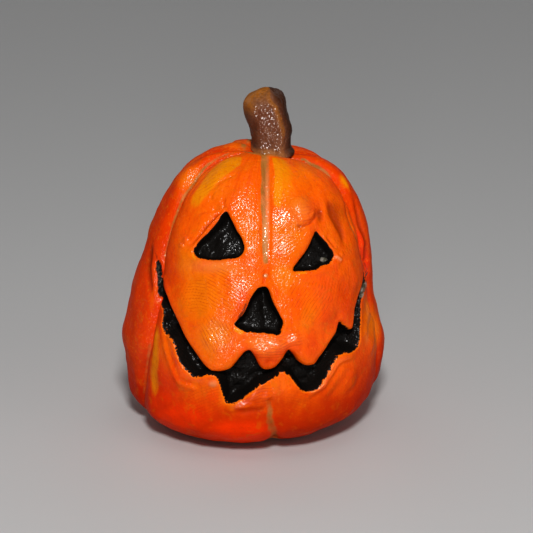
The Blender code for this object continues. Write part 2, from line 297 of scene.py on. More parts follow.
def window(points, margin):
    """The part of the map that lies within the margin of these points."""
    az, el, _ = to_sphere(points)
    da = math.degrees(margin / 15.0) / max(math.cos(math.radians(min(abs(el).max(), 80))), 0.17)
    de = math.degrees(margin / 18.0)
    j0 = max(int((el.min() - de + 60) / MAP_STEP), 0)
    j1 = min(int((el.max() + de + 60) / MAP_STEP) + 2, len(MAP_EL))
    i0 = max(int((az.min() - da + 180) / MAP_STEP), 0)
    i1 = min(int((az.max() + da + 180) / MAP_STEP) + 2, len(MAP_AZ))
    if el.max() > 84:
        i0, i1 = 0, len(MAP_AZ)
    return slice(j0, j1), slice(i0, i1)


def measure(line, margin):
    """For the map near a line: the window, distance, side and share along."""
    pts, share = fine_line(line)
    where = window(pts, margin)
    near = PLACE[where].reshape(-1, 3)
    best = np.full(len(near), 1e9, F4)
    side, along = np.zeros(len(near), F4), np.zeros(len(near), F4)
    for k in range(len(pts) - 1):
        a, b = pts[k].astype(F4), pts[k + 1].astype(F4)
        ab = b - a
        t = np.clip(((near - a) @ ab) / max(float(ab @ ab), 1e-9), 0, 1)
        off = near - (a + t[:, None] * ab)
        d = np.einsum("ij,ij->i", off, off)
        out = a - np.array([CENTRE_X, CENTRE_Y, HEART_Z], F4)
        left = np.cross(ab, out)
        closer = d < best
        best = np.where(closer, d, best)
        side = np.where(closer, np.sign(off @ left), side)
        along = np.where(closer, share[k] + t * (share[k + 1] - share[k]), along)
    shape = PLACE[where].shape[:2]
    return where, np.sqrt(best).reshape(shape), side.reshape(shape), along.reshape(shape)


def taper(along, ends):
    return smooth(along / max(ends[0], 1e-6)) * smooth((1 - along) / max(ends[1], 1e-6))


RELIEF = np.zeros_like(BARE)
FOLDS = np.zeros_like(BARE)  # the part of the relief whose low places are painted darker, as pooled wash and as painted shade


def profile(value, along):
    """A number, or a list of numbers spread evenly along the stroke."""
    if isinstance(value, (int, float)):
        return value
    return np.interp(along, np.linspace(0, 1, len(value)), value)


def ridge(pixels, width, height, ends=(0.25, 0.25), power=2.0, points=None):
    """A raised line, or a crease if the height is negative."""
    line = seen(pixels) if points is None else points
    widest = width if isinstance(width, (int, float)) else max(width)
    where, d, _, along = measure(line, 2.6 * widest + 0.3)
    RELIEF[where] += profile(height, along) * np.exp(-((d / profile(width, along)) ** power)) * taper(along, ends)


def fold(pixels, width, height, ends=(0.25, 0.25), points=None):
    """A lip: the clay stands up to the right of the line's way and dips to its left."""
    line = seen(pixels) if points is None else points
    widest = width if isinstance(width, (int, float)) else max(width)
    where, d, side, along = measure(line, 3.2 * widest + 0.3)
    s = d * side / profile(width, along)
    RELIEF[where] += profile(height, along) * s * np.exp(0.5 - 0.5 * s * s) * taper(along, ends)


def dab(pixel, size, height, turn=0.0, power=2.0, point=None):
    """A round or oval thumb mark: size is across and up, in mm."""
    c = seen([pixel])[0] if point is None else np.asarray(point, float)
    wide, tall = size if isinstance(size, tuple) else (size, size)
    where = window(c[None], 2.4 * max(wide, tall) + 0.3)
    off = PLACE[where] - c.astype(F4)
    t = math.radians(turn)
    u = off @ RIGHT_WAY.astype(F4)
    v = off @ UP_WAY.astype(F4)
    w = off @ BACK_WAY.astype(F4)
    across, up = u * math.cos(t) + v * math.sin(t), -u * math.sin(t) + v * math.cos(t)
    d = np.sqrt((across / wide) ** 2 + (up / tall) ** 2 + (w / (2.5 * max(wide, tall))) ** 2)
    RELIEF[where] += height * np.exp(-(d**power))


def paint(table, pixels, width, amount=1.0, soft=0.35, ends=(0.2, 0.2), points=None):
    """Adds a painted stroke to a map of one paint: width is the half width in mm."""
    line = seen(pixels) if points is None else points
    widest = width if isinstance(width, (int, float)) else max(width)
    where, d, _, along = measure(line, widest + 2.2 * soft + 0.2)
    mask = 1 - smooth((d - profile(width, along) + soft) / (2 * soft))
    table[where] = np.maximum(table[where], profile(amount, along) * mask * taper(along, ends))


def blot(table, pixel, size, amount, power=2.0, turn=0.0, point=None, add=False):
    c = seen([pixel])[0] if point is None else np.asarray(point, float)
    wide, tall = size
    where = window(c[None], 2.4 * max(wide, tall) + 0.3)
    off = PLACE[where] - c.astype(F4)
    t = math.radians(turn)
    u, v, w = off @ RIGHT_WAY.astype(F4), off @ UP_WAY.astype(F4), off @ BACK_WAY.astype(F4)
    across, up = u * math.cos(t) + v * math.sin(t), -u * math.sin(t) + v * math.cos(t)
    d = np.sqrt((across / wide) ** 2 + (up / tall) ** 2 + (w / (2.5 * max(wide, tall))) ** 2)
    mask = amount * np.exp(-(d**power))
    table[where] = table[where] + mask if add else np.maximum(table[where], mask)


def press(pixel, size, share, power=3.0):
    """A fingertip that pressed the clay flat here, so that it faces between eye and lamp."""
    table = (BARE + RELIEF).astype(F4)
    c = seen([pixel], table)[0]
    face = (EYE_AT - c) / np.linalg.norm(EYE_AT - c) + (LAMP_AT - c) / np.linalg.norm(LAMP_AT - c)
    face /= np.linalg.norm(face)
    wide, tall = size
    where = window(c[None], 2.0 * max(wide, tall) + 0.3)
    az, el, r = AZ_GRID[where], EL_GRID[where], table[where]
    spot = from_sphere(az, el, r)
    way = from_sphere(az, el, r + 0.5) - spot
    way /= np.linalg.norm(way, axis=-1)[..., None]
    off = spot - c
    d = np.hypot((off @ RIGHT_WAY) / wide, (off @ UP_WAY) / tall)
    lift = np.clip(-(off @ face) / np.maximum(way @ face, 0.3), -0.8, 0.8)
    RELIEF[where] += share * np.exp(-(d**power)) * lift


# ---------------------------------------------------- outlines of the recesses
LEFT_EYE = (
    (226.3, 211.2), (231.5, 220.0), (236.5, 230.5), (241.0, 237.5), (244.0, 246.6), (242.6, 252.5), (237.3, 257.2),
    (226.0, 258.9), (214.3, 260.0), (204.0, 258.8), (197.0, 257.2), (193.2, 252.4), (195.0, 246.8), (199.0, 240.9),
    (206.5, 234.0), (213.3, 226.6), (218.6, 220.0), (221.6, 214.4),
)
RIGHT_EYE = (
    (316.8, 230.8), (320.5, 235.2), (323.8, 239.2), (327.6, 243.6), (329.8, 247.4), (332.6, 251.0), (334.2, 255.0),
    (332.6, 259.6), (328.8, 263.3), (322.0, 266.0), (316.5, 269.4), (306.0, 270.6), (295.6, 271.4), (294.8, 267.6),
    (300.4, 259.8), (306.3, 252.0), (310.6, 244.4), (314.0, 236.4),
)
NOSE = (
    (258.6, 287.6), (262.8, 286.7), (266.9, 287.4), (269.8, 292.4), (271.9, 299.2), (274.8, 305.6), (279.4, 314.2),
    (283.3, 322.4), (282.1, 327.0), (279.4, 334.8), (271.0, 334.2), (264.4, 332.6), (258.4, 333.6), (251.6, 331.8),
    (246.4, 332.6), (241.4, 329.6), (234.8, 325.6), (237.4, 320.0), (243.4, 314.2), (247.2, 306.6), (250.2, 299.4),
    (254.4, 292.6),
)
# The grin: the edge of the cheeks and upper lip, from the object's -X corner
# to its +X corner, then the edge of the jaw.
MOUTH_TOP = (
    (157.6, 259.6), (160.2, 269.0), (161.8, 281.0), (164.6, 293.0), (170.0, 309.0), (176.8, 324.0), (184.2, 340.0),
    (190.0, 349.0), (196.6, 358.2), (202.8, 366.4), (210.0, 372.2), (220.0, 372.8), (229.6, 370.0), (237.9, 360.6),
    (245.0, 353.2), (250.4, 352.2), (256.0, 359.8), (259.6, 367.0), (264.2, 371.0), (270.4, 371.0), (277.4, 367.6),
    (284.4, 359.0), (289.8, 351.4), (297.4, 357.2), (301.8, 363.2), (307.4, 366.8), (316.0, 365.6), (321.8, 357.8),
    (330.0, 346.4), (338.2, 333.8), (341.2, 323.4), (345.8, 327.0), (350.8, 330.4), (354.2, 329.4), (355.6, 319.6),
    (356.2, 309.5), (358.8, 297.9), (362.6, 285.4), (364.0, 274.0), (364.6, 262.0),
)
MOUTH_BOTTOM = (
    (366.4, 259.0), (366.4, 270.0), (366.0, 283.0), (363.6, 293.4), (361.2, 303.0), (361.4, 315.7), (360.4, 328.2),
    (360.2, 338.0), (358.0, 347.4), (351.6, 352.4), (343.8, 353.8), (337.8, 357.2), (332.8, 364.8), (327.0, 375.0),
    (322.8, 384.0), (314.8, 390.8), (304.8, 391.8), (300.2, 388.8), (295.7, 383.0), (290.2, 376.4), (282.1, 371.9),
    (275.6, 377.4), (270.6, 379.4), (259.6, 386.0), (253.6, 390.6), (247.5, 395.4), (241.6, 399.4), (235.0, 403.0),
    (226.2, 403.0), (223.2, 397.0), (220.4, 386.0), (216.4, 377.2), (210.0, 374.8), (204.0, 375.8), (198.0, 377.6),
    (192.5, 376.6), (187.4, 371.6), (182.2, 365.6), (177.0, 356.0), (174.6, 348.0), (172.0, 340.0), (165.6, 333.4),
    (161.4, 323.6), (163.4, 316.0), (162.4, 309.0), (160.2, 297.0), (157.0, 284.0), (155.6, 270.0), (156.0, 261.6),
)
MM_PER_DEG = 0.34  # how wide a degree of azimuth is at the mouth


def closed_curve(points, per=4, tight=0.5):
    """A closed smooth curve through the points, with close points."""
    p = np.asarray(points, float)
    n = len(p)
    out = []
    for i in range(n):
        a, b, c, d = p[i - 1], p[i], p[(i + 1) % n], p[(i + 2) % n]
        for k in range(per):
            t = k / per
            m0, m1 = tight * (c - a) * 0.8, tight * (d - b) * 0.8
            out.append(
                (2 * t**3 - 3 * t**2 + 1) * b + (t**3 - 2 * t**2 + t) * m0
                + (-2 * t**3 + 3 * t**2) * c + (t**3 - t**2) * m1
            )
    return np.array(out)


def signed_distance(points, outline):
    """Distance to a closed outline, negative inside, and the nearest piece."""
    best = np.full(len(points), 1e9)
    nearest = np.zeros(len(points), np.int32)
    inside = np.zeros(len(points), bool)
    x, y = points[:, 0], points[:, 1]
    for k in range(len(outline)):
        a, b = outline[k], outline[(k + 1) % len(outline)]
        ab = b - a
        t = np.clip(((points - a) @ ab) / max(ab @ ab, 1e-12), 0, 1)
        d = (x - a[0] - t * ab[0]) ** 2 + (y - a[1] - t * ab[1]) ** 2
        closer = d < best
        best, nearest = np.where(closer, d, best), np.where(closer, k, nearest)
        crosses = (a[1] > y) != (b[1] > y)
        inside ^= crosses & (x < a[0] + (y - a[1]) * ab[0] / (ab[1] if ab[1] else 1e-12))
    return np.where(inside, -1, 1) * np.sqrt(best), nearest


class Chart:
    """Fields on a flat grid, read between its points."""

    def __init__(self, low, high, step):
        self.low, self.step = np.array(low, float), step
        self.n = [int(round((h - l) / step)) + 1 for l, h in zip(low, high)]
        u, v = np.meshgrid(low[0] + np.arange(self.n[0]) * step, low[1] + np.arange(self.n[1]) * step)
        self.grid = np.stack((u.ravel(), v.ravel()), 1)
        self.tables = {}

    def put(self, name, values):
        self.tables[name] = np.asarray(values, F4).reshape(self.n[1], self.n[0])

    def at(self, name, u, v):
        i = np.clip((u - self.low[0]) / self.step, 0, self.n[0] - 1.001)
        j = np.clip((v - self.low[1]) / self.step, 0, self.n[1] - 1.001)
        i0, j0 = i.astype(np.int32), j.astype(np.int32)
        a, b = i - i0, j - j0
        t = self.tables[name]
        return (
            t[j0, i0] * (1 - a) * (1 - b) + t[j0, i0 + 1] * a * (1 - b)
            + t[j0 + 1, i0] * (1 - a) * b + t[j0 + 1, i0 + 1] * a * b
        )


class Socket:
    """An eye or the nose: a recess pressed straight in along its own axis."""

    def __init__(self, outline, azimuth, angle, depth, rims, floor_seed, tilt=(0.0, 0.0)):
        a, e = math.radians(azimuth), math.radians(angle)
        self.out = np.array([math.sin(a) * math.cos(e), -math.cos(a) * math.cos(e), math.sin(e)])
        self.across = np.cross([0, 0, 1.0], self.out)
        self.across /= np.linalg.norm(self.across)
        self.up = np.cross(self.out, self.across)
        points = seen(outline)
        self.at = points.mean(0)
        flat = np.stack(((points - self.at) @ self.across, (points - self.at) @ self.up), 1)
        curve = closed_curve(flat)
        self.reach = float(np.abs(curve).max()) + 3.2
        self.chart = Chart((-self.reach, -self.reach), (self.reach, self.reach), 0.06)
        d, nearest = signed_distance(self.chart.grid, curve)
        rim = np.repeat(np.asarray(rims, float), 4)
        rim = np.convolve(np.r_[rim[-6:], rim, rim[:6]], np.ones(13) / 13, "valid")
        self.chart.put("d", d)
        self.chart.put("rim", rim[nearest])
        self.depth, self.tilt = depth, tilt
        self.lumps = Lumps(floor_seed, 2.1, 12)
        self.small = Lumps(floor_seed + 1, 0.95, 14)

    def local(self, points):
        off = points - self.at
        return off @ self.across, off @ self.up, off @ self.out

    def hollow(self, points, skin, bare):
        """Positive inside the recess, in mm, with the rim's rounding there."""
        u, v, w = self.local(points)
        d = self.chart.at("d", u, v)
        under = -skin
        floor = self.depth + self.tilt[0] * u + self.tilt[1] * v
        floor = floor + 0.06 * self.lumps(points) + 0.025 * self.small(points)
        walls = -d - 0.22 * np.maximum(under, 0)
        return smooth_min(walls, floor + bare, 0.7), self.chart.at("rim", u, v)


class Grin:
    """The mouth: a recess that follows the skin, pressed in towards the axis."""

    def __init__(self):
        top, low = np.array(MOUTH_TOP), np.array(MOUTH_BOTTOM)
        points = seen(np.vstack((top, low)), SKIN)
        outline = np.stack((np.clip(to_sphere(points)[0], -72, 68) * MM_PER_DEG, points[:, 2]), 1)
        curve = closed_curve(outline, per=3, tight=0.42)
        self.chart = Chart((-30.0, 6.0), (27.0, 36.0), 0.06)
        d, nearest = signed_distance(self.chart.grid, curve)
        on_top = np.repeat(np.r_[np.ones(len(top)), np.zeros(len(low))], 3)
        on_top = np.convolve(np.r_[on_top[-3:], on_top, on_top[:3]], np.ones(7) / 7, "valid")
        self.chart.put("d", d)
        self.chart.put("top", on_top[nearest])
        self.lumps = Lumps(31, 2.4, 14)
        self.small = Lumps(37, 1.05, 14)

    def hollow(self, points, az, skin, bare):
        s, z = az * MM_PER_DEG, points[..., 2]
        d = self.chart.at("d", s, z)
        top = self.chart.at("top", s, z)
        under = -skin
        floor = 2.5 + 0.16 * self.lumps(points) + 0.04 * self.small(points)
        walls = -d - (0.30 - 0.22 * top) * np.maximum(under, 0)
        rim = 0.35 + (0.15 + 0.70 * smooth((66 - np.abs(az)) / 30)) * top
        return smooth_min(walls, floor + bare, 0.8), rim


# ------------------------------------------------------------ finger strokes
def sculpt():
    """All strokes of the fingers and tools, as relief on the skin."""
    # around the left eye
    ridge([(223.8, 208.6), (218.0, 213.4), (213.0, 218.4), (206.3, 225.6), (198.2, 236.0), (190.0, 244.4), (186.6, 250.0)],
          0.30, [-0.30, -0.42, -0.42, -0.40, -0.35, -0.20], (0.1, 0.2))
    ridge([(225.2, 210.4), (219.0, 217.2), (212.2, 224.8), (205.6, 232.2), (197.6, 240.0), (192.2, 246.6)],
          0.26, 0.24, (0.15, 0.3))
    ridge([(224.7, 208.4), (223.4, 200.8), (221.6, 195.6)], 0.30, -0.24, (0.1, 0.5))
    ridge([(196.6, 213.2), (206.2, 210.6), (213.4, 209.6), (219.4, 203.2)], 0.42, -0.16)
    ridge([(198.0, 216.4), (207.0, 214.2), (213.4, 213.4)], 0.50, 0.16)
    ridge([(238.0, 172.6), (230.6, 176.4), (223.0, 180.2), (214.8, 187.2), (211.4, 193.0)], 0.26, -0.15, (0.2, 0.3))
    ridge([(215.4, 190.4), (211.6, 194.6), (211.4, 199.4), (215.6, 200.4), (218.0, 197.0)], 0.24, -0.16)
    dab((214.6, 195.4), 0.45, 0.08)
    dab((186.4, 239.8), (0.42, 0.34), 0.20)
    dab((183.0, 245.4), (0.50, 0.30), 0.16)
    ridge([(187.0, 252.0), (191.6, 258.6), (199.0, 262.0)], 0.5, 0.14)
    # under the left eye
    ridge([(190.0, 266.2), (205.0, 265.6), (222.0, 266.0), (240.0, 262.4)], 0.75, 0.22)
    ridge([(199.0, 272.6), (212.0, 273.6), (228.0, 270.6), (240.0, 266.4)], 0.60, -0.20)
    dab((226.8, 265.7), 0.16, 0.07)
    # inner side of the left eye
    ridge([(229.0, 211.0), (234.6, 221.0), (240.0, 231.0), (246.0, 243.0), (247.0, 252.0)], 0.55, 0.16)
    # ribs and grooves of the left side
    ridge([(222.0, 151.6), (207.0, 160.6), (196.4, 170.6), (186.0, 184.0), (178.0, 199.0), (172.6, 216.0), (168.0, 236.0)],
          1.10, [0.06, 0.16, 0.20, 0.18, 0.14, 0.10, 0.05])
    ridge([(238.0, 157.0), (224.0, 161.4), (212.6, 168.0), (204.4, 175.2), (196.2, 186.0), (189.0, 199.0), (184.0, 214.0)],
          0.26, -0.12)
    ridge([(234.5, 152.6), (222.9, 156.0), (211.3, 162.6), (203.0, 169.2), (193.0, 183.2), (186.4, 191.6), (180.6, 202.4),
           (175.7, 217.2), (172.3, 227.2), (169.0, 239.6), (165.7, 250.4), (163.0, 262.0)], 0.40, -0.22, (0.1, 0.1))
    ridge([(153.0, 236.0), (150.4, 250.0), (149.2, 266.0), (149.8, 284.0), (152.6, 300.0)], 0.70, -0.42)
    ridge([(154.0, 250.0), (153.0, 266.0), (153.2, 282.0), (156.0, 296.0), (158.8, 309.0), (159.8, 320.0)],
          0.45, 0.20, (0.3, 0.25))
    ridge([(163.4, 258.0), (163.0, 268.0), (165.4, 282.0), (170.2, 298.0)], 0.50, 0.24)
    # the centre groove and the bridge
    ridge([(265.0, 154.0), (265.4, 175.0), (265.0, 198.0), (265.6, 220.0), (266.2, 240.0), (266.6, 262.0)],
          [0.62, 0.66, 0.64, 0.60, 0.52, 0.44], [-0.12, -0.22, -0.24, -0.22, -0.24, -0.20], (0.1, 0.1))
    ridge([(264.8, 216.0), (265.2, 230.0), (265.0, 244.0), (265.6, 262.0)], 0.42, 0.24)
    ridge([(271.6, 206.0), (272.2, 224.0), (272.4, 240.0), (272.0, 256.0), (271.4, 270.0)], 0.32, 0.18)
    ridge([(259.6, 206.0), (259.6, 224.0), (260.2, 244.0), (260.6, 266.0)], 0.34, 0.12)
    ridge([(262.6, 278.6), (264.2, 274.0), (266.2, 271.4), (268.4, 273.6), (269.8, 277.4)], 0.24, -0.30)
    dab((266.0, 276.4), (0.36, 0.4), -0.20)
    dab((265.6, 273.6), 0.26, 0.14)
    ridge([(265.6, 277.0), (264.4, 281.0), (263.4, 285.0)], 0.24, -0.28)
    ridge([(270.2, 272.6), (272.4, 279.2), (275.0, 286.0), (278.8, 293.4)], 0.34, 0.24)
    # beside the nose
    ridge([(268.4, 285.6), (272.0, 292.4), (274.4, 299.6), (276.6, 305.6)], 0.26, 0.24, (0.3, 0.3))
    ridge([(271.4, 284.4), (275.0, 292.0), (277.2, 299.4), (279.2, 306.6)], 0.24, -0.20)
    ridge([(277.4, 307.6), (281.6, 308.8), (286.2, 308.8)], 0.22, 0.12)
    ridge([(230.4, 331.0), (231.4, 325.6), (233.8, 320.2), (238.2, 315.2), (242.0, 310.6), (245.4, 304.8)],
          0.26, -0.36, (0.2, 0.2))
    ridge([(233.2, 325.0), (236.6, 318.6), (241.6, 313.2), (245.8, 306.4)], 0.20, 0.22)
    ridge([(284.2, 318.0), (285.6, 326.0), (282.6, 334.4)], 0.32, 0.16)
    # cheeks, upper lip and the teeth that hang from it
    dab((208.0, 322.0), (4.2, 5.0), 0.35)
    dab((322.0, 305.0), (4.0, 5.0), 0.30)
    ridge([(236.0, 347.6), (256.0, 350.0), (272.0, 348.4), (287.0, 344.0), (303.0, 337.0)], 1.05, 0.52, (0.3, 0.35))
    ridge([(240.0, 338.6), (256.0, 339.6), (272.0, 339.0), (286.0, 335.0)], 0.55, -0.14, (0.3, 0.35))
    dab((268.6, 357.0), (2.0, 1.5), 0.38)
    dab((214.0, 356.0), (2.6, 2.2), 0.35)
    dab((309.4, 352.0), (1.8, 2.4), 0.35)
    dab((346.0, 318.0), (1.5, 1.8), 0.10)
    el = np.linspace(-3.0, 13.0, 9)
    az = groove_azimuth(0, el)
    ridge(None, 0.85, 0.42, (0.25, 0.25), 1.5, from_sphere(az, el, lookup(BARE, az, el)))
    ridge([(247.0, 349.0), (243.0, 343.6), (238.0, 339.0)], 0.8, -0.25)
    ridge([(289.6, 349.0), (291.0, 344.0), (296.0, 341.0)], 0.7, -0.25)
    ridge([(331.0, 330.0), (336.6, 318.0), (340.6, 309.0)], 0.9, -0.25)
    dab((300.4, 340.0), (1.0, 0.6), 0.12)
    # the brow over the right eye
    dab((302.0, 208.6), (2.4, 2.1), 0.34, power=3.0)
    ridge([(293.6, 219.4), (296.0, 222.0), (299.8, 224.8), (306.4, 224.0), (312.6, 220.2), (316.2, 213.0), (317.0, 206.6)],
          0.30, -0.46, (0.2, 0.25))
    ridge([(296.0, 218.6), (300.4, 221.0), (306.0, 220.4), (311.6, 216.8), (314.6, 210.8)], 0.28, 0.22)
    ridge([(299.0, 215.6), (305.0, 216.8), (310.4, 214.0), (312.8, 209.4)], 0.17, -0.08)
    ridge([(300.6, 212.4), (305.4, 213.2), (309.4, 211.0)], 0.17, -0.07)
    dab((319.8, 211.6), (0.55, 1.0), -0.46, turn=-10)
    dab((321.4, 219.4), (0.5, 0.8), -0.24)
    dab((320.2, 213.4), 0.18, 0.20)
    dab((318.4, 200.0), (0.9, 0.9), 0.20)
    ridge([(326.0, 194.0), (328.4, 200.0), (331.3, 210.0), (336.0, 221.0), (342.0, 233.4), (345.6, 249.6)],
          [0.6, 0.8, 0.9, 0.8, 0.6, 0.5], -0.36)
    dab((338.0, 212.0), (1.5, 2.6), -0.30, turn=15)
    ridge([(276.0, 228.6), (284.0, 229.8), (293.0, 227.6), (301.0, 230.0), (308.6, 233.0)], 0.55, -0.24)
    # around the right eye
    ridge([(325.6, 235.0), (329.4, 240.0), (333.4, 245.6), (335.6, 250.0)], 0.28, -0.34)
    ridge([(322.0, 235.4), (326.4, 240.8), (330.4, 245.4)], 0.24, 0.14)
    dab((332.4, 250.4), (0.5, 0.35), 0.16)
    ridge([(334.4, 255.4), (338.0, 258.0), (342.4, 261.4)], 0.36, 0.30)
    dab((342.0, 254.6), 0.26, 0.16)
    ridge([(331.0, 262.4), (335.4, 263.4), (340.0, 266.0)], 0.5, 0.16)
    ridge([(296.0, 275.0), (308.0, 274.0), (320.0, 272.6), (330.0, 268.0)], 0.6, 0.16)
    ridge([(302.0, 279.6), (316.0, 278.4), (330.0, 275.0)], 0.8, -0.14)
    # ribs and grooves of the right side
    ridge([(303.0, 155.6), (316.0, 161.6), (330.0, 171.6), (341.6, 184.0), (347.6, 198.0), (351.6, 213.0), (357.0, 230.0)],
          1.05, [0.06, 0.13, 0.16, 0.16, 0.12, 0.10, 0.06])
    ridge([(298.0, 159.6), (304.8, 160.2), (311.4, 164.0), (319.7, 168.4), (325.5, 173.4), (330.5, 178.4), (337.0, 185.8),
           (342.0, 191.6), (345.4, 203.2), (347.9, 213.2), (351.2, 223.8), (355.4, 234.6), (359.5, 244.6), (361.4, 256.0),
           (363.6, 266.8)], 0.38, -0.24, (0.08, 0.08))
    ridge([(352.6, 190.0), (354.6, 200.0), (356.6, 211.0), (361.4, 225.0), (366.0, 237.0), (366.8, 250.0), (364.6, 264.4)],
          0.55, -0.40, (0.25, 0.1))
    ridge([(347.6, 259.0), (352.0, 268.0), (355.0, 280.0), (354.0, 292.0)], 0.8, 0.22)
    # the crown's edge behind the stem's foot
    dab((238.0, 145.0), (2.6, 1.3), 0.55, turn=8)
    ridge([(229.0, 147.6), (238.0, 149.6), (250.0, 151.2)], 0.26, -0.14)
    # the jaw's lip
    fold([(161.0, 322.0), (163.6, 336.0), (169.6, 359.0), (175.6, 372.0), (180.6, 381.4), (187.0, 384.6), (195.0, 387.0),
          (200.0, 386.0)], 0.40, 0.16, (0.2, 0.15))
    fold([(357.0, 357.6), (351.0, 359.6), (341.4, 362.6), (335.4, 371.0), (329.6, 379.8), (325.4, 386.6), (318.6, 391.6),
          (312.0, 395.6), (305.0, 397.6)][::-1], 0.44, -0.19, (0.15, 0.2))
    dab((213.2, 383.4), (0.62, 0.5), 0.16, power=3.0)
    ridge([(205.4, 390.0), (212.0, 391.6), (217.0, 398.0)], 0.8, -0.10)
    ridge([(224.0, 405.6), (230.6, 407.6), (238.4, 404.0), (247.0, 400.0), (256.0, 394.0), (264.0, 389.6)], 0.75, 0.32, (0.15, 0.3))
    ridge([(232.0, 413.6), (240.0, 412.2), (250.0, 410.8), (260.4, 410.4), (266.8, 407.0)], 0.45, -0.32, (0.35, 0.15))
    dab((226.0, 408.4), (0.3, 0.22), 0.10)
    dab((232.2, 409.0), (0.3, 0.22), 0.10)
    dab((246.4, 404.6), (0.4, 0.22), 0.10)
    ridge([(270.6, 391.0), (271.4, 402.0), (271.0, 414.0), (271.4, 426.0), (273.0, 438.0)],
          [0.35, 0.5, 0.85, 1.1, 1.2], [-0.1, -0.22, -0.30, -0.38, -0.42], (0.2, 0.05))
    dab((288.0, 392.0), (1.8, 2.0), 0.22)
    ridge([(296.0, 392.6), (303.0, 397.4), (313.0, 396.4)], 0.5, 0.16)
    ridge([(351.0, 371.0), (343.0, 381.0), (335.4, 391.0), (329.0, 401.0)], 0.85, -0.20)
    ridge([(362.0, 372.0), (356.0, 385.0), (347.0, 398.0)], 0.9, -0.18)
    ridge([(356.0, 366.0), (349.0, 377.0), (341.0, 389.0)], 0.7, 0.16)
    dab((356.0, 336.0), (2.2, 3.2), 0.30)
    dab((152.0, 412.0), (3.0, 2.4), 0.55)
    dab((172.0, 428.0), (3.0, 1.4), 0.15)
    ridge([(366.0, 296.0), (367.4, 310.0), (365.4, 326.0), (363.0, 340.0)], 0.7, 0.30)
    ridge([(368.0, 292.0), (370.4, 308.0), (371.6, 326.0), (371.0, 344.0), (368.0, 362.0)], 1.25, 0.40)
    FOLDS[...] = RELIEF
    # soft dents of the fingers all over
    for i, (az, el, size, height) in enumerate((
        (100, 30, 3.4, -0.30), (128, 8, 4.0, -0.35), (160, 40, 3.2, -0.25), (198, 10, 4.2, -0.35), (236, 34, 3.6, -0.30),
        (262, 2, 3.2, -0.28), (150, -22, 3.6, -0.30), (208, -20, 3.8, 0.30), (112, -14, 3.2, 0.28), (178, 58, 2.8, 0.25),
        (240, -12, 3.2, 0.28), (136, 52, 2.6, 0.22), (222, 60, 2.6, -0.22), (90, -8, 2.6, -0.24), (272, 26, 2.8, 0.22),
    )):
        a = az if az <= 180 else az - 360
        p = from_sphere(np.array(a), np.array(el), lookup(BARE, np.array([a], float), np.array([el], float))[0])
        where = window(p[None], 2.4 * size)
        d = np.linalg.norm(PLACE[where] - p.astype(F4), axis=-1) / size
        RELIEF[where] += height * np.exp(-(d**2.4))
    RELIEF[...] += 0.075 * Lumps(3, 5.2)(PLACE) + 0.020 * Lumps(5, 2.3)(PLACE) + 0.005 * Lumps(7, 1.1)(PLACE)
    # where a fingertip pressed the clay flat
    for pixel, size, share in (
        ((284.0, 217.4), (2.0, 1.45), 0.85), ((238.0, 203.6), (1.9, 2.0), 0.45), ((252.0, 247.6), (0.9, 1.2), 0.5),
        ((252.6, 262.0), (1.0, 1.2), 0.6), ((260.0, 346.6), (1.2, 0.55), 0.75), ((275.0, 344.0), (1.3, 0.6), 0.85),
        ((291.0, 338.6), (1.4, 0.85), 0.95), ((217.0, 337.0), (2.2, 2.2), 0.6), ((243.0, 286.0), (1.5, 1.7), 0.5),
        ((265.4, 233.0), (0.62, 2.4), 0.95), ((265.6, 254.0), (0.55, 1.8), 0.8), ((286.0, 245.0), (1.6, 1.6), 0.4), ((266.0, 394.0), (1.1, 0.8), 0.6),
        ((241.0, 404.0), (1.9, 0.6), 0.6), ((190.4, 176.6), (0.9, 1.6), 0.5),
        ((186.6, 240.2), (0.42, 0.34), 0.9), ((183.0, 246.0), (0.50, 0.28), 0.9),
    ):
        press(pixel, size, share)


sculpt()
SKIN = (BARE + RELIEF).astype(F4)

SOCKETS = (
    Socket(LEFT_EYE, -26.0, 28.0, 2.1, [0.7] * 7 + [0.5] * 5 + [0.5] * 6, 41, (0.05, 0.12)),
    Socket(RIGHT_EYE, 23.0, 24.0, 2.0, [0.6] * 6 + [0.6] * 6 + [1.1] * 6, 53, (0.0, 0.10)),
    Socket(NOSE, -3.0, 19.0, 2.4, [0.5] * 9 + [0.5] * 7 + [0.7] * 6, 67, (0.0, 0.12)),
)
GRIN = Grin()


def field(points):
    """Signed distance to the clay, negative inside, in mm."""
    az, el, r = to_sphere(points)
    relief = lookup(RELIEF, az, el)
    bare = (r - lookup(BARE, az, el)) * 0.97
    skin = bare - relief * 0.97
    f = smooth_max(skin, -points[..., 2], 1.3)
    rise = points[..., 2] - seat_at(points[..., 0], points[..., 1])
    seat = smooth_min(3.9 - np.hypot(points[..., 0] - STEM_X + 0.1, points[..., 1] - STEM_Y), rise, 0.3)
    f = smooth_max(f, seat, 0.6)
    close = np.abs(f) < 5.5
    for socket in SOCKETS:
        near = close & (np.abs(points - socket.at) < socket.reach * 1.25).all(-1)
        at = np.nonzero(near)[0]
        if len(at):
            hollow, rim = socket.hollow(points[at], skin[at], bare[at])
            f[at] = smooth_max(f[at], hollow, rim)
    near = close & (points[:, 2] > 7.5) & (points[:, 2] < 34) & (az > -82) & (az < 74)
    at = np.nonzero(near)[0]
    if len(at):
        hollow, rim = GRIN.hollow(points[at], az[at], skin[at], bare[at])
        f[at] = smooth_max(f[at], hollow, rim)
    return f


# ------------------------------------------------------------------ meshing
def in_parts(function, points, size=400000):
    return np.concatenate([function(points[i : i + size]) for i in range(0, len(points), size)])


def gradient(function, points, step=0.04):
    out = np.empty_like(points)
    for axis in range(3):
        off = np.zeros(3)
        off[axis] = step
        out[:, axis] = (function(points + off) - function(points - off)) / (2 * step)
    return out


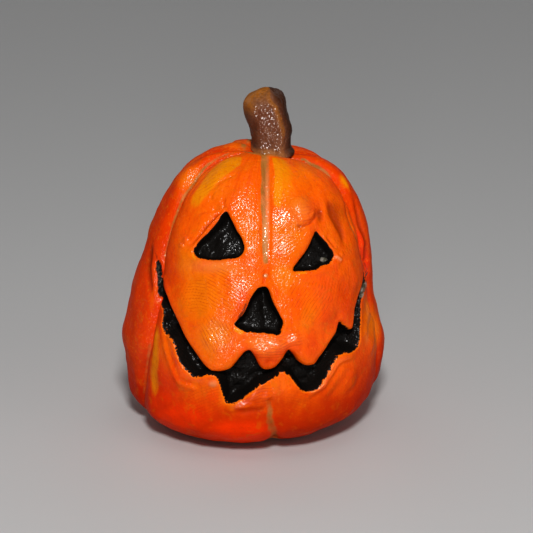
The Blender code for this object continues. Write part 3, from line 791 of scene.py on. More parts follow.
def settle(function, points, rounds=2):
    """Moves points onto the surface along its slope."""
    for _ in range(rounds):
        f = function(points)
        g = gradient(function, points)
        move = (f / np.maximum((g**2).sum(1), 0.09))[:, None] * g
        size = np.linalg.norm(move, axis=1)
        points = points - move * np.minimum(1, 0.25 / np.maximum(size, 1e-9))[:, None]
    return points


def neighbours_mean(points, edges):
    total = np.zeros_like(points)
    count = np.bincount(edges.ravel(), minlength=len(points)).astype(float)
    for axis in range(3):
        total[:, axis] = np.bincount(edges[:, 0], points[edges[:, 1], axis], len(points)) + np.bincount(
            edges[:, 1], points[edges[:, 0], axis], len(points)
        )
    return total / np.maximum(count, 1)[:, None]


def quad_edges(quads):
    e = np.concatenate([quads[:, [0, 1]], quads[:, [1, 2]], quads[:, [2, 3]], quads[:, [3, 0]]])
    e.sort(axis=1)
    return np.unique(e, axis=0)


def block_values(function, low, cell, block, ijk, n):
    """The function at the nodes of these blocks."""
    node = np.stack(np.meshgrid(*[np.arange(block + 1)] * 3, indexing="ij"), -1).reshape(-1, 3)
    nodes = ijk[:, None, :] * block + node[None]
    keys = (nodes[..., 0] * n[1] + nodes[..., 1]) * n[2] + nodes[..., 2]
    unique, back = np.unique(keys.ravel(), return_inverse=True)
    places = np.stack((unique // (n[1] * n[2]), unique // n[2] % n[1], unique % n[2]), 1)
    values = in_parts(function, low + places * cell)
    return values[back.ravel()].reshape(len(ijk), block + 1, block + 1, block + 1)


def surface_nets(function, low, high, cell):
    """A closed mesh of quads where the function is zero, by surface nets."""
    block = 4
    size = cell * block
    big = size * 2
    low = np.asarray(low, float)
    count = np.ceil((np.asarray(high) - low) / big).astype(int)
    ijk = np.stack(np.meshgrid(*[np.arange(n) for n in count], indexing="ij"), -1).reshape(-1, 3)
    f = in_parts(function, low + (ijk + 0.5) * big)
    ijk = ijk[np.abs(f) < big * 0.866 * 1.25 + 0.35]
    corner = np.stack(np.meshgrid([0, 1], [0, 1], [0, 1], indexing="ij"), -1).reshape(-1, 3)
    ijk = (ijk[:, None, :] * 2 + corner[None]).reshape(-1, 3)
    f = in_parts(function, low + (ijk + 0.5) * size)
    ijk = ijk[np.abs(f) < size * 0.866 * 1.05 + 0.1]
    n = (count * 2 * block + 2).astype(np.int64)
    m = count.astype(np.int64) * 2
    values = block_values(function, low, cell, block, ijk, n)
    known = np.sort((ijk[:, 0] * m[1] + ijk[:, 1]) * m[2] + ijk[:, 2])
    fresh, fresh_values = ijk, values
    while len(fresh):
        # a block whose side the surface crosses needs the block on that side
        more = []
        for axis in range(3):
            for end, way in ((0, -1), (block, 1)):
                face = np.take(fresh_values, end, axis=axis + 1).reshape(len(fresh), -1) < 0
                step = np.zeros(3, int)
                step[axis] = way
                more.append(fresh[face.any(1) & ~face.all(1)] + step)
        more = np.unique(np.concatenate(more), axis=0)
        key = (more[:, 0] * m[1] + more[:, 1]) * m[2] + more[:, 2]
        fresh = more[~np.isin(key, known)]
        if not len(fresh):
            break
        known = np.r_[known, key[~np.isin(key, known)]]
        fresh_values = block_values(function, low, cell, block, fresh, n)
        ijk, values = np.concatenate((ijk, fresh)), np.concatenate((values, fresh_values))
    inside = values < 0
    s = block
    corners = [(slice(None),) + tuple(slice(c[a], c[a] + s) for a in range(3)) for c in corner]
    filled = sum(inside[c].astype(np.int8) for c in corners)
    b, i, j, k = np.nonzero((filled > 0) & (filled < 8))
    cell_at = ijk[b] * block + np.stack((i, j, k), 1)
    v = {tuple(c): values[b, i + c[0], j + c[1], k + c[2]] for c in corner}
    total, hits = np.zeros((len(b), 3)), np.zeros(len(b))
    for c in corner:
        for axis in range(3):
            if c[axis]:
                continue
            d = c.copy()
            d[axis] = 1
            f0, f1 = v[tuple(c)], v[tuple(d)]
            cross = (f0 < 0) != (f1 < 0)
            t = np.where(cross, f0 / np.where(cross, f0 - f1, 1), 0)
            spot = np.tile(c.astype(float), (len(b), 1))
            spot[:, axis] += t
            total += spot * cross[:, None]
            hits += cross
    points = low + (cell_at + total / hits[:, None]) * cell
    ids = (cell_at[:, 0] * n[1] + cell_at[:, 1]) * n[2] + cell_at[:, 2]
    order = np.argsort(ids)
    ids, points = ids[order], points[order]
    quads = []
    for axis in range(3):
        one, two = (axis + 1) % 3, (axis + 2) % 3
        start = inside[:, :s, :s, :s]
        end = inside[(slice(None),) + tuple(slice(1, s + 1) if a == axis else slice(0, s) for a in range(3))]
        b, i, j, k = np.nonzero(start != end)
        at = ijk[b] * block + np.stack((i, j, k), 1)
        out = start[b, i, j, k]
        ring = []
        for da, db in ((-1, -1), (0, -1), (0, 0), (-1, 0)):
            c = at.copy()
            c[:, one] += da
            c[:, two] += db
            key = (c[:, 0] * n[1] + c[:, 1]) * n[2] + c[:, 2]
            found = np.clip(np.searchsorted(ids, key), 0, len(ids) - 1)
            if (ids[found] != key).any():
                raise RuntimeError("the mesh has a hole")
            ring.append(found)
        ring = np.stack(ring, 1)
        quads.append(np.where(out[:, None], ring, ring[:, ::-1]))
    return points, np.concatenate(quads)


def new_mesh(name, points, faces):
    """A mesh in metres from points in millimetres and faces of equal size."""
    mesh = bpy.data.meshes.new(name)
    mesh.vertices.add(len(points))
    mesh.vertices.foreach_set("co", (points * MM).astype(F4).ravel())
    side = faces.shape[1]
    mesh.loops.add(faces.size)
    mesh.loops.foreach_set("vertex_index", faces.astype(np.int32).ravel())
    mesh.polygons.add(len(faces))
    mesh.polygons.foreach_set("loop_start", np.arange(0, faces.size, side, dtype=np.int32))
    mesh.update(calc_edges=True)
    mesh.validate()
    mesh.shade_smooth()
    return mesh


def new_object(name, mesh):
    made = bpy.data.objects.new(name, mesh)
    bpy.context.scene.collection.objects.link(made)
    return made


def points_of(mesh):
    co = np.empty(len(mesh.vertices) * 3, F4)
    mesh.vertices.foreach_get("co", co)
    return co.reshape(-1, 3).astype(float) / MM


def attribute(mesh, name, values):
    made = mesh.attributes.new(name, "FLOAT", "POINT")
    made.data.foreach_set("value", np.asarray(values, F4))


def make_clay():
    cell = CELL * 1.0
    points, quads = surface_nets(field, (-23.2, -22.4, -1.6), (23.2, 22.4, 49.6), cell)
    f = lambda p: in_parts(field, p)
    points = settle(f, points, 1)
    edges = quad_edges(quads)
    for _ in range(2):
        points = points + 0.5 * (neighbours_mean(points, edges) - points)
        points = settle(f, points, 1)
    made = new_object("pumpkin_skin", new_mesh("pumpkin_skin", points, quads))
    triangles = 2 * len(quads)
    print("clay mesh:", len(points), "points", triangles, "triangles")
    if triangles > MOST_TRIANGLES:
        # the back, the underside and the crown give up detail before the face
        az, el, _ = to_sphere(points)
        away = 0.42 + 0.34 * smooth((np.abs(az) - 85) / 25) * smooth((80 - el) / 20)
        away = np.maximum(away, 0.42 + 0.46 * smooth((0.5 - points[:, 2]) / 0.5))
        group = made.vertex_groups.new(name="away")
        steps = np.round(away * 25).astype(int)
        for s in np.unique(steps):
            at = np.nonzero(steps == s)[0]
            group.add(at.tolist(), float(s) / 25, "REPLACE")
        thin = made.modifiers.new("thin", "DECIMATE")
        thin.ratio = MOST_TRIANGLES / triangles
        thin.vertex_group = "away"
        thin.vertex_group_factor = 6.0
        graph = bpy.context.evaluated_depsgraph_get()
        mesh = bpy.data.meshes.new_from_object(made.evaluated_get(graph))
        made.modifiers.clear()
        made.vertex_groups.clear()
        old, made.data = made.data, mesh
        bpy.data.meshes.remove(old)
        mesh.name = "pumpkin_skin"
        points = settle(f, points_of(mesh), 1)
        mesh.vertices.foreach_set("co", (points * MM).astype(F4).ravel())
        mesh.update()
        mesh.shade_smooth()
        print("thinned to", len(mesh.polygons), "faces")
    return made


CLAY = make_clay()


# -------------------------------------------------------------- where paint is
def paint_maps():
    zero = np.zeros_like(BARE)
    names = ("khaki", "yellow", "dark", "pale_and_highlight", "amber", "grey_glint", "soot", "shine", "dull", "bright", "rose")
    maps = {n: zero.copy() for n in names}
    k, y, shade_dk, pa_highlight, am, gr_glint, so, sh, dl, br, ro = (maps[n] for n in names)
    # black that ran into the crease beside the nose and out of the grin's corners
    paint(so, [(236.6, 321.0), (240.2, 315.4), (243.4, 311.0), (245.6, 305.0), (247.6, 300.6)], [0.13, 0.18, 0.16, 0.12, 0.06], 0.95, 0.10)
    paint(so, [(362.4, 256.0), (364.2, 264.0), (365.0, 272.0), (364.8, 278.0)], [0.04, 0.08, 0.14, 0.14], 0.95, 0.10, (0.3, 0.1))
    paint(so, [(154.4, 250.0), (156.2, 255.0), (157.4, 260.0)], [0.02, 0.05, 0.08], 0.7, 0.08, (0.4, 0.1))
    paint(so, [(341.0, 324.0), (345.0, 326.4), (350.0, 329.4)], 0.10, 0.8, 0.14)
    # grooves
    paint(k, [(264.0, 151.0), (264.0, 160.0), (263.6, 168.0), (264.0, 179.0), (263.4, 190.0), (263.6, 199.0), (263.2, 206.0),
              (264.0, 214.0), (265.0, 222.0), (265.2, 230.0), (265.2, 238.0), (265.2, 252.0), (265.6, 269.0)],
          [0.52, 0.50, 0.46, 0.48, 0.42, 0.46, 0.44, 0.44, 0.50, 0.52, 0.50, 0.46, 0.38], 0.95, 0.24, (0.02, 0.06))
    paint(k, [(268.0, 151.0), (267.4, 164.0), (267.0, 178.0), (267.0, 194.0), (266.6, 208.0), (266.8, 224.0)],
          [0.52, 0.44, 0.34, 0.40, 0.36, 0.26], [0.8, 0.62, 0.5, 0.62, 0.55, 0.5], 0.26, (0.02, 0.2))
    # painted highlight down the lower centre groove
    paint(pa_highlight, [(264.8, 190.0), (265.0, 206.0), (265.2, 222.0), (265.4, 244.0), (265.6, 266.0)], 0.42, [0.1, 0.5, 0.6, 0.5, 0.4], 0.25)
    paint(k, [(236.0, 152.0), (222.9, 155.9), (211.3, 162.5), (203.0, 169.1), (193.0, 183.1), (186.4, 191.5), (180.6, 202.3),
              (175.7, 217.1), (172.3, 227.1), (169.0, 239.5), (165.7, 250.3), (162.8, 262.0)],
          [0.18, 0.20, 0.22, 0.24, 0.24, 0.22, 0.20, 0.18], [0.6, 0.7, 0.8, 0.85, 0.8, 0.75, 0.7, 0.7], 0.22, (0.03, 0.05))
    paint(k, [(298.0, 159.5), (304.8, 160.0), (311.4, 164.0), (319.7, 168.2), (325.5, 173.2), (330.5, 178.1), (333.0, 181.0)],
          0.26, 1.0, 0.12, (0.1, 0.2))
    paint(k, [(344.0, 197.0), (347.9, 213.0), (351.2, 223.7), (355.4, 234.5), (359.5, 244.5), (361.4, 256.0), (363.6, 266.8)],
          0.14, [0.2, 0.4, 0.9, 0.9, 0.7, 0.8, 0.8], 0.12, (0.2, 0.05))
    paint(k, [(267.4, 389.0), (268.4, 400.0), (270.0, 412.0), (271.4, 426.0), (273.0, 440.0)],
          [0.45, 0.62, 0.85, 1.0, 1.05], [0.5, 0.6, 0.60, 0.62, 0.65], 0.50, (0.25, 0.02))
    paint(k, [(156.0, 318.0), (152.4, 332.0), (149.4, 350.0), (146.4, 368.0), (144.4, 388.0), (146.4, 410.0)],
          0.30, 0.5, 0.3, (0.3, 0.1))
    paint(k, [(371.0, 300.0), (374.4, 315.0), (377.4, 332.0), (379.0, 350.0), (377.0, 374.0)], 0.22, 0.3, 0.25)
    # the foot of the stem
    ring = [(STEM_X + 4.6 * math.sin(t), STEM_Y - 4.6 * math.cos(t)) for t in np.linspace(0, 2 * math.pi, 25)]
    foot = np.array([(x, yy, 45.4) for x, yy in ring])
    paint(k, None, 0.55, 0.75, 0.45, (1e-6, 1e-6), points=foot)
    # the back grooves, which the front shows only from the side
    for i in (2, 3, 4, 5, 6):
        el = np.linspace(-42, 76, 16)
        az = groove_azimuth(i, el)
        az = np.where(az > 180, az - 360, az)
        if i == 4:
            az = np.full_like(el, 179.7)
        r = lookup(BARE, az, el)
        line = from_sphere(az, el, r)
        paint(k, None, [0.24, 0.3, 0.22, 0.3, 0.24, 0.3], [0.6, 0.9, 0.6, 0.9, 0.75, 0.9], 0.18, (0.1, 0.05), points=line)
        if i == 4:
            line = from_sphere(-az, el, r)
            paint(k, None, [0.24, 0.3, 0.22, 0.3, 0.24, 0.3], [0.6, 0.9, 0.6, 0.9, 0.75, 0.9], 0.18, (0.1, 0.05), points=line)
    # yellow strokes
    paint(y, [(243.6, 160.6), (233.0, 162.0), (222.6, 167.4), (213.4, 176.2), (205.4, 187.0), (198.0, 197.4), (192.0, 207.6), (189.0, 216.0)],
          [1.0, 1.6, 1.85, 1.6, 1.3, 1.15, 1.05, 0.8], [0.8, 1.0, 1.0, 1.0, 0.95, 0.85, 0.7, 0.5], 0.6, (0.06, 0.25))
    paint(y, [(274.6, 158.0), (278.6, 172.0), (278.4, 186.0), (277.6, 200.0), (278.4, 216.0)],
          [0.45, 0.60, 0.65, 0.62, 0.5], [1.0, 1.0, 1.0, 0.95, 0.7], 0.22, (0.01, 0.25))
    paint(y, [(281.0, 158.0), (285.0, 172.0), (285.6, 186.0), (284.0, 200.0), (283.0, 214.0)],
          [0.9, 1.2, 1.2, 1.1, 0.9], [0.75, 0.72, 0.6, 0.5, 0.35], 1.3, (0.01, 0.3))
    paint(y, [(336.0, 170.0), (340.4, 177.0), (344.8, 184.4), (347.8, 191.0), (349.0, 197.0)], [0.3, 0.5, 0.6, 0.4, 0.2], 0.8, 0.7, (0.45, 0.45))
    paint(y, [(159.0, 318.0), (156.0, 338.0), (154.4, 360.0), (153.8, 380.0), (156.0, 404.0)], [0.5, 1.0, 1.2, 1.1, 0.6], 0.66, 0.9)
    paint(y, [(364.0, 296.0), (366.0, 308.0), (366.2, 322.0)], 0.14, 0.55, 0.25)
    paint(y, [(197.0, 262.0), (193.6, 256.6), (192.4, 251.6)], 0.18, 0.8, 0.12, (0.3, 0.3))
    paint(y, [(294.6, 272.6), (302.0, 272.4), (310.0, 271.8)], 0.20, 0.9, 0.12, (0.2, 0.4))
    paint(y, [(233.4, 327.6), (238.4, 330.6), (244.6, 333.6)], 0.34, 0.9, 0.18, (0.2, 0.3))
    blot(y, (222.0, 392.0), (0.7, 1.8), 0.40)
    blot(y, (214.0, 334.0), (2.2, 2.2), 0.34)
    # thin, warmer places of the coat
    blot(am, (203.0, 296.0), (4.2, 4.4), 0.95)
    blot(am, (214.0, 336.0), (3.6, 3.6), 0.90)
    blot(am, (222.0, 270.0), (4.4, 1.6), 0.70)
    blot(am, (248.0, 232.0), (2.0, 5.0), 0.55)
    blot(am, (290.0, 238.0), (3.4, 4.0), 0.75)
    blot(am, (300.0, 208.0), (3.0, 2.4), 0.70)
    blot(am, (302.0, 182.0), (3.0, 3.6), 0.45)
    blot(am, (284.0, 275.0), (2.6, 3.0), 0.70)
    blot(am, (306.0, 316.0), (1.8, 4.2), 0.60, turn=-20)
    # painted highlight: the right lobe is painted lighter along its crest
    blot(am, (366.0, 318.0), (1.2, 5.0), 0.95)
    blot(am, (371.0, 332.0), (2.2, 5.4), 1.3)
    paint(pa_highlight, [(365.0, 298.0), (367.0, 315.0), (366.4, 332.0), (364.0, 348.0)], 0.3, 0.30, 0.5)
    blot(am, (258.0, 344.0), (5.0, 1.8), 0.50)
    blot(am, (220.0, 190.0), (3.4, 3.0), 0.50)
    blot(am, (186.0, 262.0), (2.4, 3.4), 0.60)
    blot(am, (182.0, 300.0), (2.2, 4.6), 0.50)
    blot(am, (232.0, 402.0), (3.6, 1.4), 0.60)
    blot(am, (268.0, 388.0), (3.4, 1.6), 0.45)
    blot(am, (190.0, 178.0), (2.4, 5.0), 0.80, turn=-32)
    blot(am, (236.0, 146.0), (4.0, 1.6), 0.80)
    blot(am, (152.0, 300.0), (1.0, 3.6), 0.60)
    # painted glints: light grey where the black catches the light in the right eye and in the grin's corners
    blot(gr_glint, (329.8, 254.8), (0.58, 0.52), 1.0, power=3.0, turn=30)
    paint(gr_glint, [(157.6, 262.0), (157.4, 270.0), (157.8, 278.0), (158.8, 285.0)], [0.06, 0.14, 0.14, 0.06], 0.62, 0.14)
    paint(gr_glint, [(366.0, 266.0), (365.8, 275.0), (365.4, 284.0), (363.8, 293.0), (361.4, 303.0)], [0.10, 0.28, 0.36, 0.34, 0.14], 1.0, 0.16)

    # painted shade beside the grooves and in a hollow by the grin
    blot(shade_dk, (355.0, 288.0), (0.7, 2.2), 0.45)
    paint(shade_dk, [(259.4, 220.0), (259.8, 234.0), (260.2, 248.0), (260.8, 260.0)], 0.26, 0.34, 0.3)
    paint(shade_dk, [(271.6, 158.0), (271.8, 174.0), (271.4, 190.0), (271.8, 204.0), (271.6, 220.0)], 0.20, 0.30, 0.24, (0.05, 0.2))
    paint(shade_dk, [(224.0, 161.4), (212.6, 168.0), (204.4, 175.2), (196.2, 186.0), (189.0, 199.0), (184.0, 214.0)], 0.12, 0.40, 0.3)
    # where the orange lies on thicker, and where red shows through it
    blot(br, (160.0, 312.0), (1.5, 4.0), 0.3)
    blot(am, (166.0, 344.0), (2.0, 6.0), 0.6)
    blot(br, (166.0, 356.0), (3.0, 4.6), 0.3)
    blot(br, (164.0, 390.0), (3.4, 5.0), 0.7)
    blot(br, (182.0, 416.0), (5.0, 2.6), 1.0)
    blot(br, (240.0, 432.0), (6.5, 2.2), 1.0)
    blot(br, (369.0, 348.0), (1.8, 3.6), 0.6)
    paint(br, [(355.0, 222.0), (360.0, 238.0), (365.0, 258.0), (367.0, 280.0), (367.0, 300.0)], 0.9, 0.85, 0.8)
    blot(ro, (346.0, 384.0), (3.4, 3.4), 0.45)
    blot(br, (313.0, 208.0), (2.0, 2.0), 0.5)
    blot(br, (334.0, 183.0), (1.8, 2.2), 0.5)
    blot(ro, (330.0, 286.0), (4.0, 6.0), 0.45)
    blot(ro, (312.0, 250.0), (5.0, 4.0), 0.30)
    blot(ro, (243.0, 299.0), (1.4, 2.2), 0.60)
    blot(ro, (212.0, 396.0), (2.4, 1.6), 0.50)
    blot(ro, (298.0, 306.0), (2.6, 3.4), 0.35)
    blot(ro, (345.0, 300.0), (2.6, 5.0), 0.60)
    blot(ro, (268.0, 360.0), (2.4, 1.6), 0.60)
    blot(ro, (228.0, 350.0), (2.6, 2.0), 0.35)
    blot(ro, (330.0, 318.0), (3.0, 3.0), 0.55)
    blot(ro, (312.0, 346.0), (2.6, 2.6), 0.60)
    blot(ro, (290.0, 352.0), (2.0, 1.6), 0.60)
    paint(ro, [(228.0, 356.0), (240.0, 348.0), (254.0, 354.0), (266.0, 364.0), (282.0, 352.0), (296.0, 348.0), (308.0, 358.0)], 1.0, 0.5, 0.8)
    # the thickest varnish
    blot(sh, (238.0, 203.0), (2.4, 2.4), 1.1)
    blot(sh, (247.0, 224.0), (2.0, 2.4), 0.4)
    blot(sh, (251.0, 250.0), (1.5, 3.0), 0.6)
    blot(sh, (254.0, 268.0), (1.6, 1.4), 0.8)
    blot(sh, (284.0, 217.6), (2.0, 1.7), 2.4, power=3.0)
    blot(dl, (253.0, 186.0), (2.2, 2.6), 0.6)
    blot(sh, (286.0, 245.0), (1.6, 1.6), 0.7)
    paint(sh, [(265.6, 222.0), (265.6, 234.0), (265.8, 246.0), (266.0, 262.0)], 0.5, 2.2, 0.3)
    paint(sh, [(272.6, 228.0), (273.2, 242.0), (273.2, 254.0), (272.4, 268.0)], 0.4, 1.0, 0.3)
    paint(sh, [(248.0, 346.0), (262.0, 347.0), (276.0, 345.0), (290.0, 340.0)], 0.8, 0.7, 0.7)
    blot(sh, (217.0, 336.0), (2.2, 2.6), 2.2)
    blot(sh, (290.0, 338.6), (1.5, 1.0), 1.2)
    blot(sh, (242.0, 288.0), (1.8, 2.0), 0.8)
    blot(sh, (190.4, 176.6), (0.75, 1.7), 1.8, turn=-35)
    blot(sh, (314.0, 256.0), (1.6, 1.2), 1.0)
    blot(sh, (328.0, 256.0), (0.9, 0.9), 2.0)
    blot(sh, (227.0, 240.0), (1.8, 2.0), 0.6)
    blot(sh, (204.0, 249.0), (1.2, 1.2), 1.0)
    paint(sh, [(164.0, 324.0), (168.0, 338.0), (173.0, 352.0), (179.6, 366.0), (187.0, 376.0), (200.0, 380.0), (214.0, 379.0)], 0.35, 1.5, 0.3)
    paint(sh, [(364.6, 296.0), (366.4, 312.0), (365.0, 330.0), (362.0, 346.0)], 0.5, 2.0, 0.4)
    paint(sh, [(228.0, 405.6), (240.0, 402.6), (254.0, 394.0), (268.0, 386.0)], 0.4, 2.4, 0.3)
    paint(sh, [(307.0, 393.6), (320.0, 388.6), (329.0, 376.0), (338.0, 361.0), (352.0, 355.6)], 0.35, 1.8, 0.3)
    blot(sh, (185.6, 242.0), (0.9, 1.0), 1.8)
    blot(sh, (304.0, 209.0), (1.8, 1.3), 0.5)
    blot(sh, (266.0, 394.0), (2.0, 1.2), 0.8)
    # and the thinnest
    paint(dl, [(236.0, 150.0), (216.0, 156.0), (203.0, 166.0), (192.0, 180.0), (182.0, 197.0), (174.0, 217.0), (168.0, 240.0), (164.0, 258.0)], 1.5, 1.0, 0.6)
    paint(dl, [(290.0, 152.0), (304.0, 156.0), (318.0, 163.0), (331.0, 174.0), (342.0, 188.0), (349.0, 206.0), (353.0, 222.0)], 1.6, 1.0, 0.7)
    paint(dl, [(160.0, 262.0), (160.0, 280.0), (158.0, 296.0)], 0.6, 0.7, 0.4)
    blot(dl, (284.0, 186.0), (2.2, 3.4), 0.85)
    blot(dl, (294.0, 246.0), (1.8, 2.4), 0.45)
    # the back has strokes of yellow beside its grooves too
    for az, lo, hi, width in ((121, 6, 58, 1.1), (160, 20, 64, 1.2), (199, -10, 50, 1.2), (233, 16, 62, 1.1), (92, -20, 20, 0.9), (268, 10, 50, 0.9)):
        el = np.linspace(lo, hi, 9)
        a = np.full_like(el, az if az <= 180 else az - 360) + 4 * np.sin(el / 17.0 + az)
        line = from_sphere(a, el, lookup(BARE, a, el))
        paint(y, None, [0.2, 0.7 * width, 0.6 * width, 0.2], 0.62, 1.1, (0.4, 0.4), points=line)
    # painted shade: darker red in hollows, dimples, creases and low corners
    blot(shade_dk, (292.0, 330.0), (1.4, 1.0), 0.26)
    blot(shade_dk, (352.0, 382.0), (2.4, 2.4), 0.12)
    blot(shade_dk, (306.0, 155.0), (2.2, 1.2), 0.34)
    blot(shade_dk, (342.0, 280.0), (1.6, 2.6), 0.18)
    blot(shade_dk, (267.0, 264.0), (1.4, 2.0), 0.22)
    blot(shade_dk, (335.0, 208.0), (1.4, 3.2), 0.28, turn=12)
    blot(shade_dk, (340.0, 236.0), (1.3, 3.2), 0.40, turn=12)
    blot(shade_dk, (320.0, 214.0), (0.7, 1.4), 0.55)
    blot(k, (265.8, 275.4), (0.5, 0.45), 0.9, power=3.0)
    blot(shade_dk, (150.0, 262.0), (0.9, 4.4), 0.55)
    blot(shade_dk, (345.0, 385.0), (3.0, 3.0), 0.16, turn=-40)
    blot(shade_dk, (180.0, 420.0), (5.0, 2.0), 0.30)
    blot(shade_dk, (322.0, 424.0), (5.0, 2.2), 0.35)
    # painted highlights: light spots on the fold under the left eye, the muzzle, a tooth's corner, the brow and a
    # streak by the right eye; pale paint down the right of the centre groove
    blot(pa_highlight, (212.0, 266.0), (3.6, 0.9), 0.35)
    blot(pa_highlight, (266.0, 343.0), (3.0, 1.2), 0.30)
    blot(pa_highlight, (213.2, 383.4), (0.7, 0.55), 0.85, power=4.0)
    blot(pa_highlight, (302.0, 212.0), (2.0, 1.6), 0.20)
    paint(pa_highlight, [(333.6, 256.2), (337.6, 258.8), (341.6, 261.4)], 0.16, 1.0, 0.16)
    paint(sh, [(333.6, 256.2), (337.6, 258.8), (341.6, 261.4)], 0.3, 1.0, 0.2)
    paint(pa_highlight, [(267.6, 156.0), (267.4, 180.0), (267.2, 204.0), (266.8, 228.0), (266.8, 262.0)], [0.30, 0.30, 0.30, 0.36, 0.3], [0.45, 0.55, 0.6, 0.9, 0.5], 0.24)
    return maps


PAINT = paint_maps()
CREASE = np.clip(-FOLDS * 1.6, 0, 1)


def print_maps():
    """Finger prints: the count of ridges across, and how clear each print is."""
    phase = {n: np.zeros_like(BARE) for n in "ab"}
    clear = {n: np.zeros_like(BARE) for n in "ab"}
    for name, pixel, size, turn, bend, strength in PRINTS:
        c = seen([pixel])[0]
        where = window(c[None], 1.5 * max(size))
        off = PLACE[where] - c.astype(F4)
        u, v = off @ RIGHT_WAY.astype(F4), off @ UP_WAY.astype(F4)
        w = off @ BACK_WAY.astype(F4)
        t = math.radians(turn)
        along, across = u * math.cos(t) + v * math.sin(t), -u * math.sin(t) + v * math.cos(t)
        count = (across + bend * along**2) / 0.48
        d = np.sqrt((along / size[0]) ** 2 + (across / size[1]) ** 2 + (w / (1.6 * max(size))) ** 2)
        mask = strength * (1 - smooth((d - 0.65) / 0.35))
        wins = mask > clear[name][where]
        phase[name][where] = np.where(wins, count, phase[name][where])
        clear[name][where] = np.where(wins, mask, clear[name][where])
    return phase, clear


# which set, middle, half length and width in mm, way of the ridges, their bend
PRINTS = (
    ("a", (238.0, 205.0), (3.0, 3.4), 62.0, 0.02, 0.3),
    ("a", (252.0, 236.0), (3.6, 1.4), 90.0, 0.00, 1.1),
    ("a", (229.0, 292.0), (5.0, 4.2), -33.0, 0.012, 1.0),
    ("a", (199.0, 296.0), (3.0, 3.4), -5.0, 0.03, 0.7),
    ("a", (217.0, 334.0), (3.6, 3.0), -62.0, 0.01, 1.1),
    ("a", (285.0, 219.0), (2.4, 2.0), 20.0, 0.06, 0.4),
    ("a", (285.0, 245.0), (2.4, 2.4), 35.0, 0.05, 0.9),
    ("a", (268.0, 350.0), (3.2, 1.8), 0.0, 0.02, 1.3),
    ("a", (309.0, 300.0), (4.0, 4.4), 58.0, 0.015, 0.7),
    ("a", (263.0, 395.0), (2.4, 1.8), 5.0, 0.03, 1.3),
    ("a", (205.0, 400.0), (4.0, 3.2), 22.0, 0.02, 0.5),
    ("a", (300.0, 405.0), (4.0, 3.0), -18.0, 0.02, 0.5),
    ("b", (250.0, 262.0), (2.0, 2.2), -52.0, 0.0, 0.9),
    ("b", (256.0, 264.0), (1.2, 2.2), 48.0, 0.0, 0.7),
    ("b", (205.0, 180.0), (3.4, 3.0), 30.0, 0.02, 0.5),
    ("b", (305.0, 215.0), (2.2, 1.8), 15.0, -0.10, 0.6),
    ("b", (290.0, 340.0), (2.4, 1.6), 16.0, 0.02, 1.3),
    ("b", (186.0, 292.0), (2.0, 5.0), 70.0, 0.01, 0.35),
    ("b", (330.0, 290.0), (3.0, 4.0), 75.0, 0.01, 0.5),
    ("b", (180.0, 350.0), (3.0, 3.0), -50.0, 0.02, 0.4),
)
PHASE, CLEAR = print_maps()


def dress_clay(made):
    mesh = made.data
    points = points_of(mesh)
    az, el, r = to_sphere(points)
    skin = (r - lookup(SKIN, az, el)) * 0.97
    # how far each point is from the edge of the black paint, negative in it
    ink = np.full(len(points), 9.0)
    rag = np.zeros(len(points))
    for socket in SOCKETS:
        near = (np.abs(points - socket.at) < socket.reach * 1.25).all(1)
        at = np.nonzero(near)[0]
        u, v, w = socket.local(points[at])
        inside = (np.abs(u) < socket.reach) & (np.abs(v) < socket.reach) & (w > -5)
        d = np.where(inside, socket.chart.at("d", u, v), 9.0)
        closer = d < ink[at]
        ink[at] = np.where(closer, d, ink[at])
        rag[at] = np.where(closer & (v < -1.0), 0.6, rag[at])
    near = (points[:, 2] > 6.5) & (points[:, 2] < 35) & (az > -86) & (az < 78) & (skin < 1.5)
    at = np.nonzero(near)[0]
    top = GRIN.chart.at("top", az[at] * MM_PER_DEG, points[at, 2])
    small_tooth = smooth((az[at] - 35) / 3) * smooth((53 - az[at]) / 3) * smooth((23.5 - points[at, 2]) / 1.5)
    d = GRIN.chart.at("d", az[at] * MM_PER_DEG, points[at, 2]) + (0.16 - 0.26 * small_tooth) * top
    closer = d < ink[at]
    ink[at] = np.where(closer, d, ink[at])
    jaw = (1 - top) * (0.2 + 0.8 * smooth((62 - np.abs(az[at])) / 12)) + 0.9 * top * small_tooth
    rag[at] = np.where(closer, jaw, rag[at])
    attribute(mesh, "ink", ink)
    attribute(mesh, "rag", rag)
    attribute(mesh, "sunk", np.clip(-skin, 0, 4))
    for name, table in PAINT.items():
        attribute(mesh, name, lookup(table, az, el))
    attribute(mesh, "crease", lookup(CREASE, az, el))
    for name in "ab":
        attribute(mesh, "phase_" + name, lookup(PHASE[name], az, el))
        attribute(mesh, "clear_" + name, lookup(CLEAR[name], az, el))
    attribute(mesh, "turn", az)
    attribute(mesh, "rise", points[:, 2])


dress_clay(CLAY)


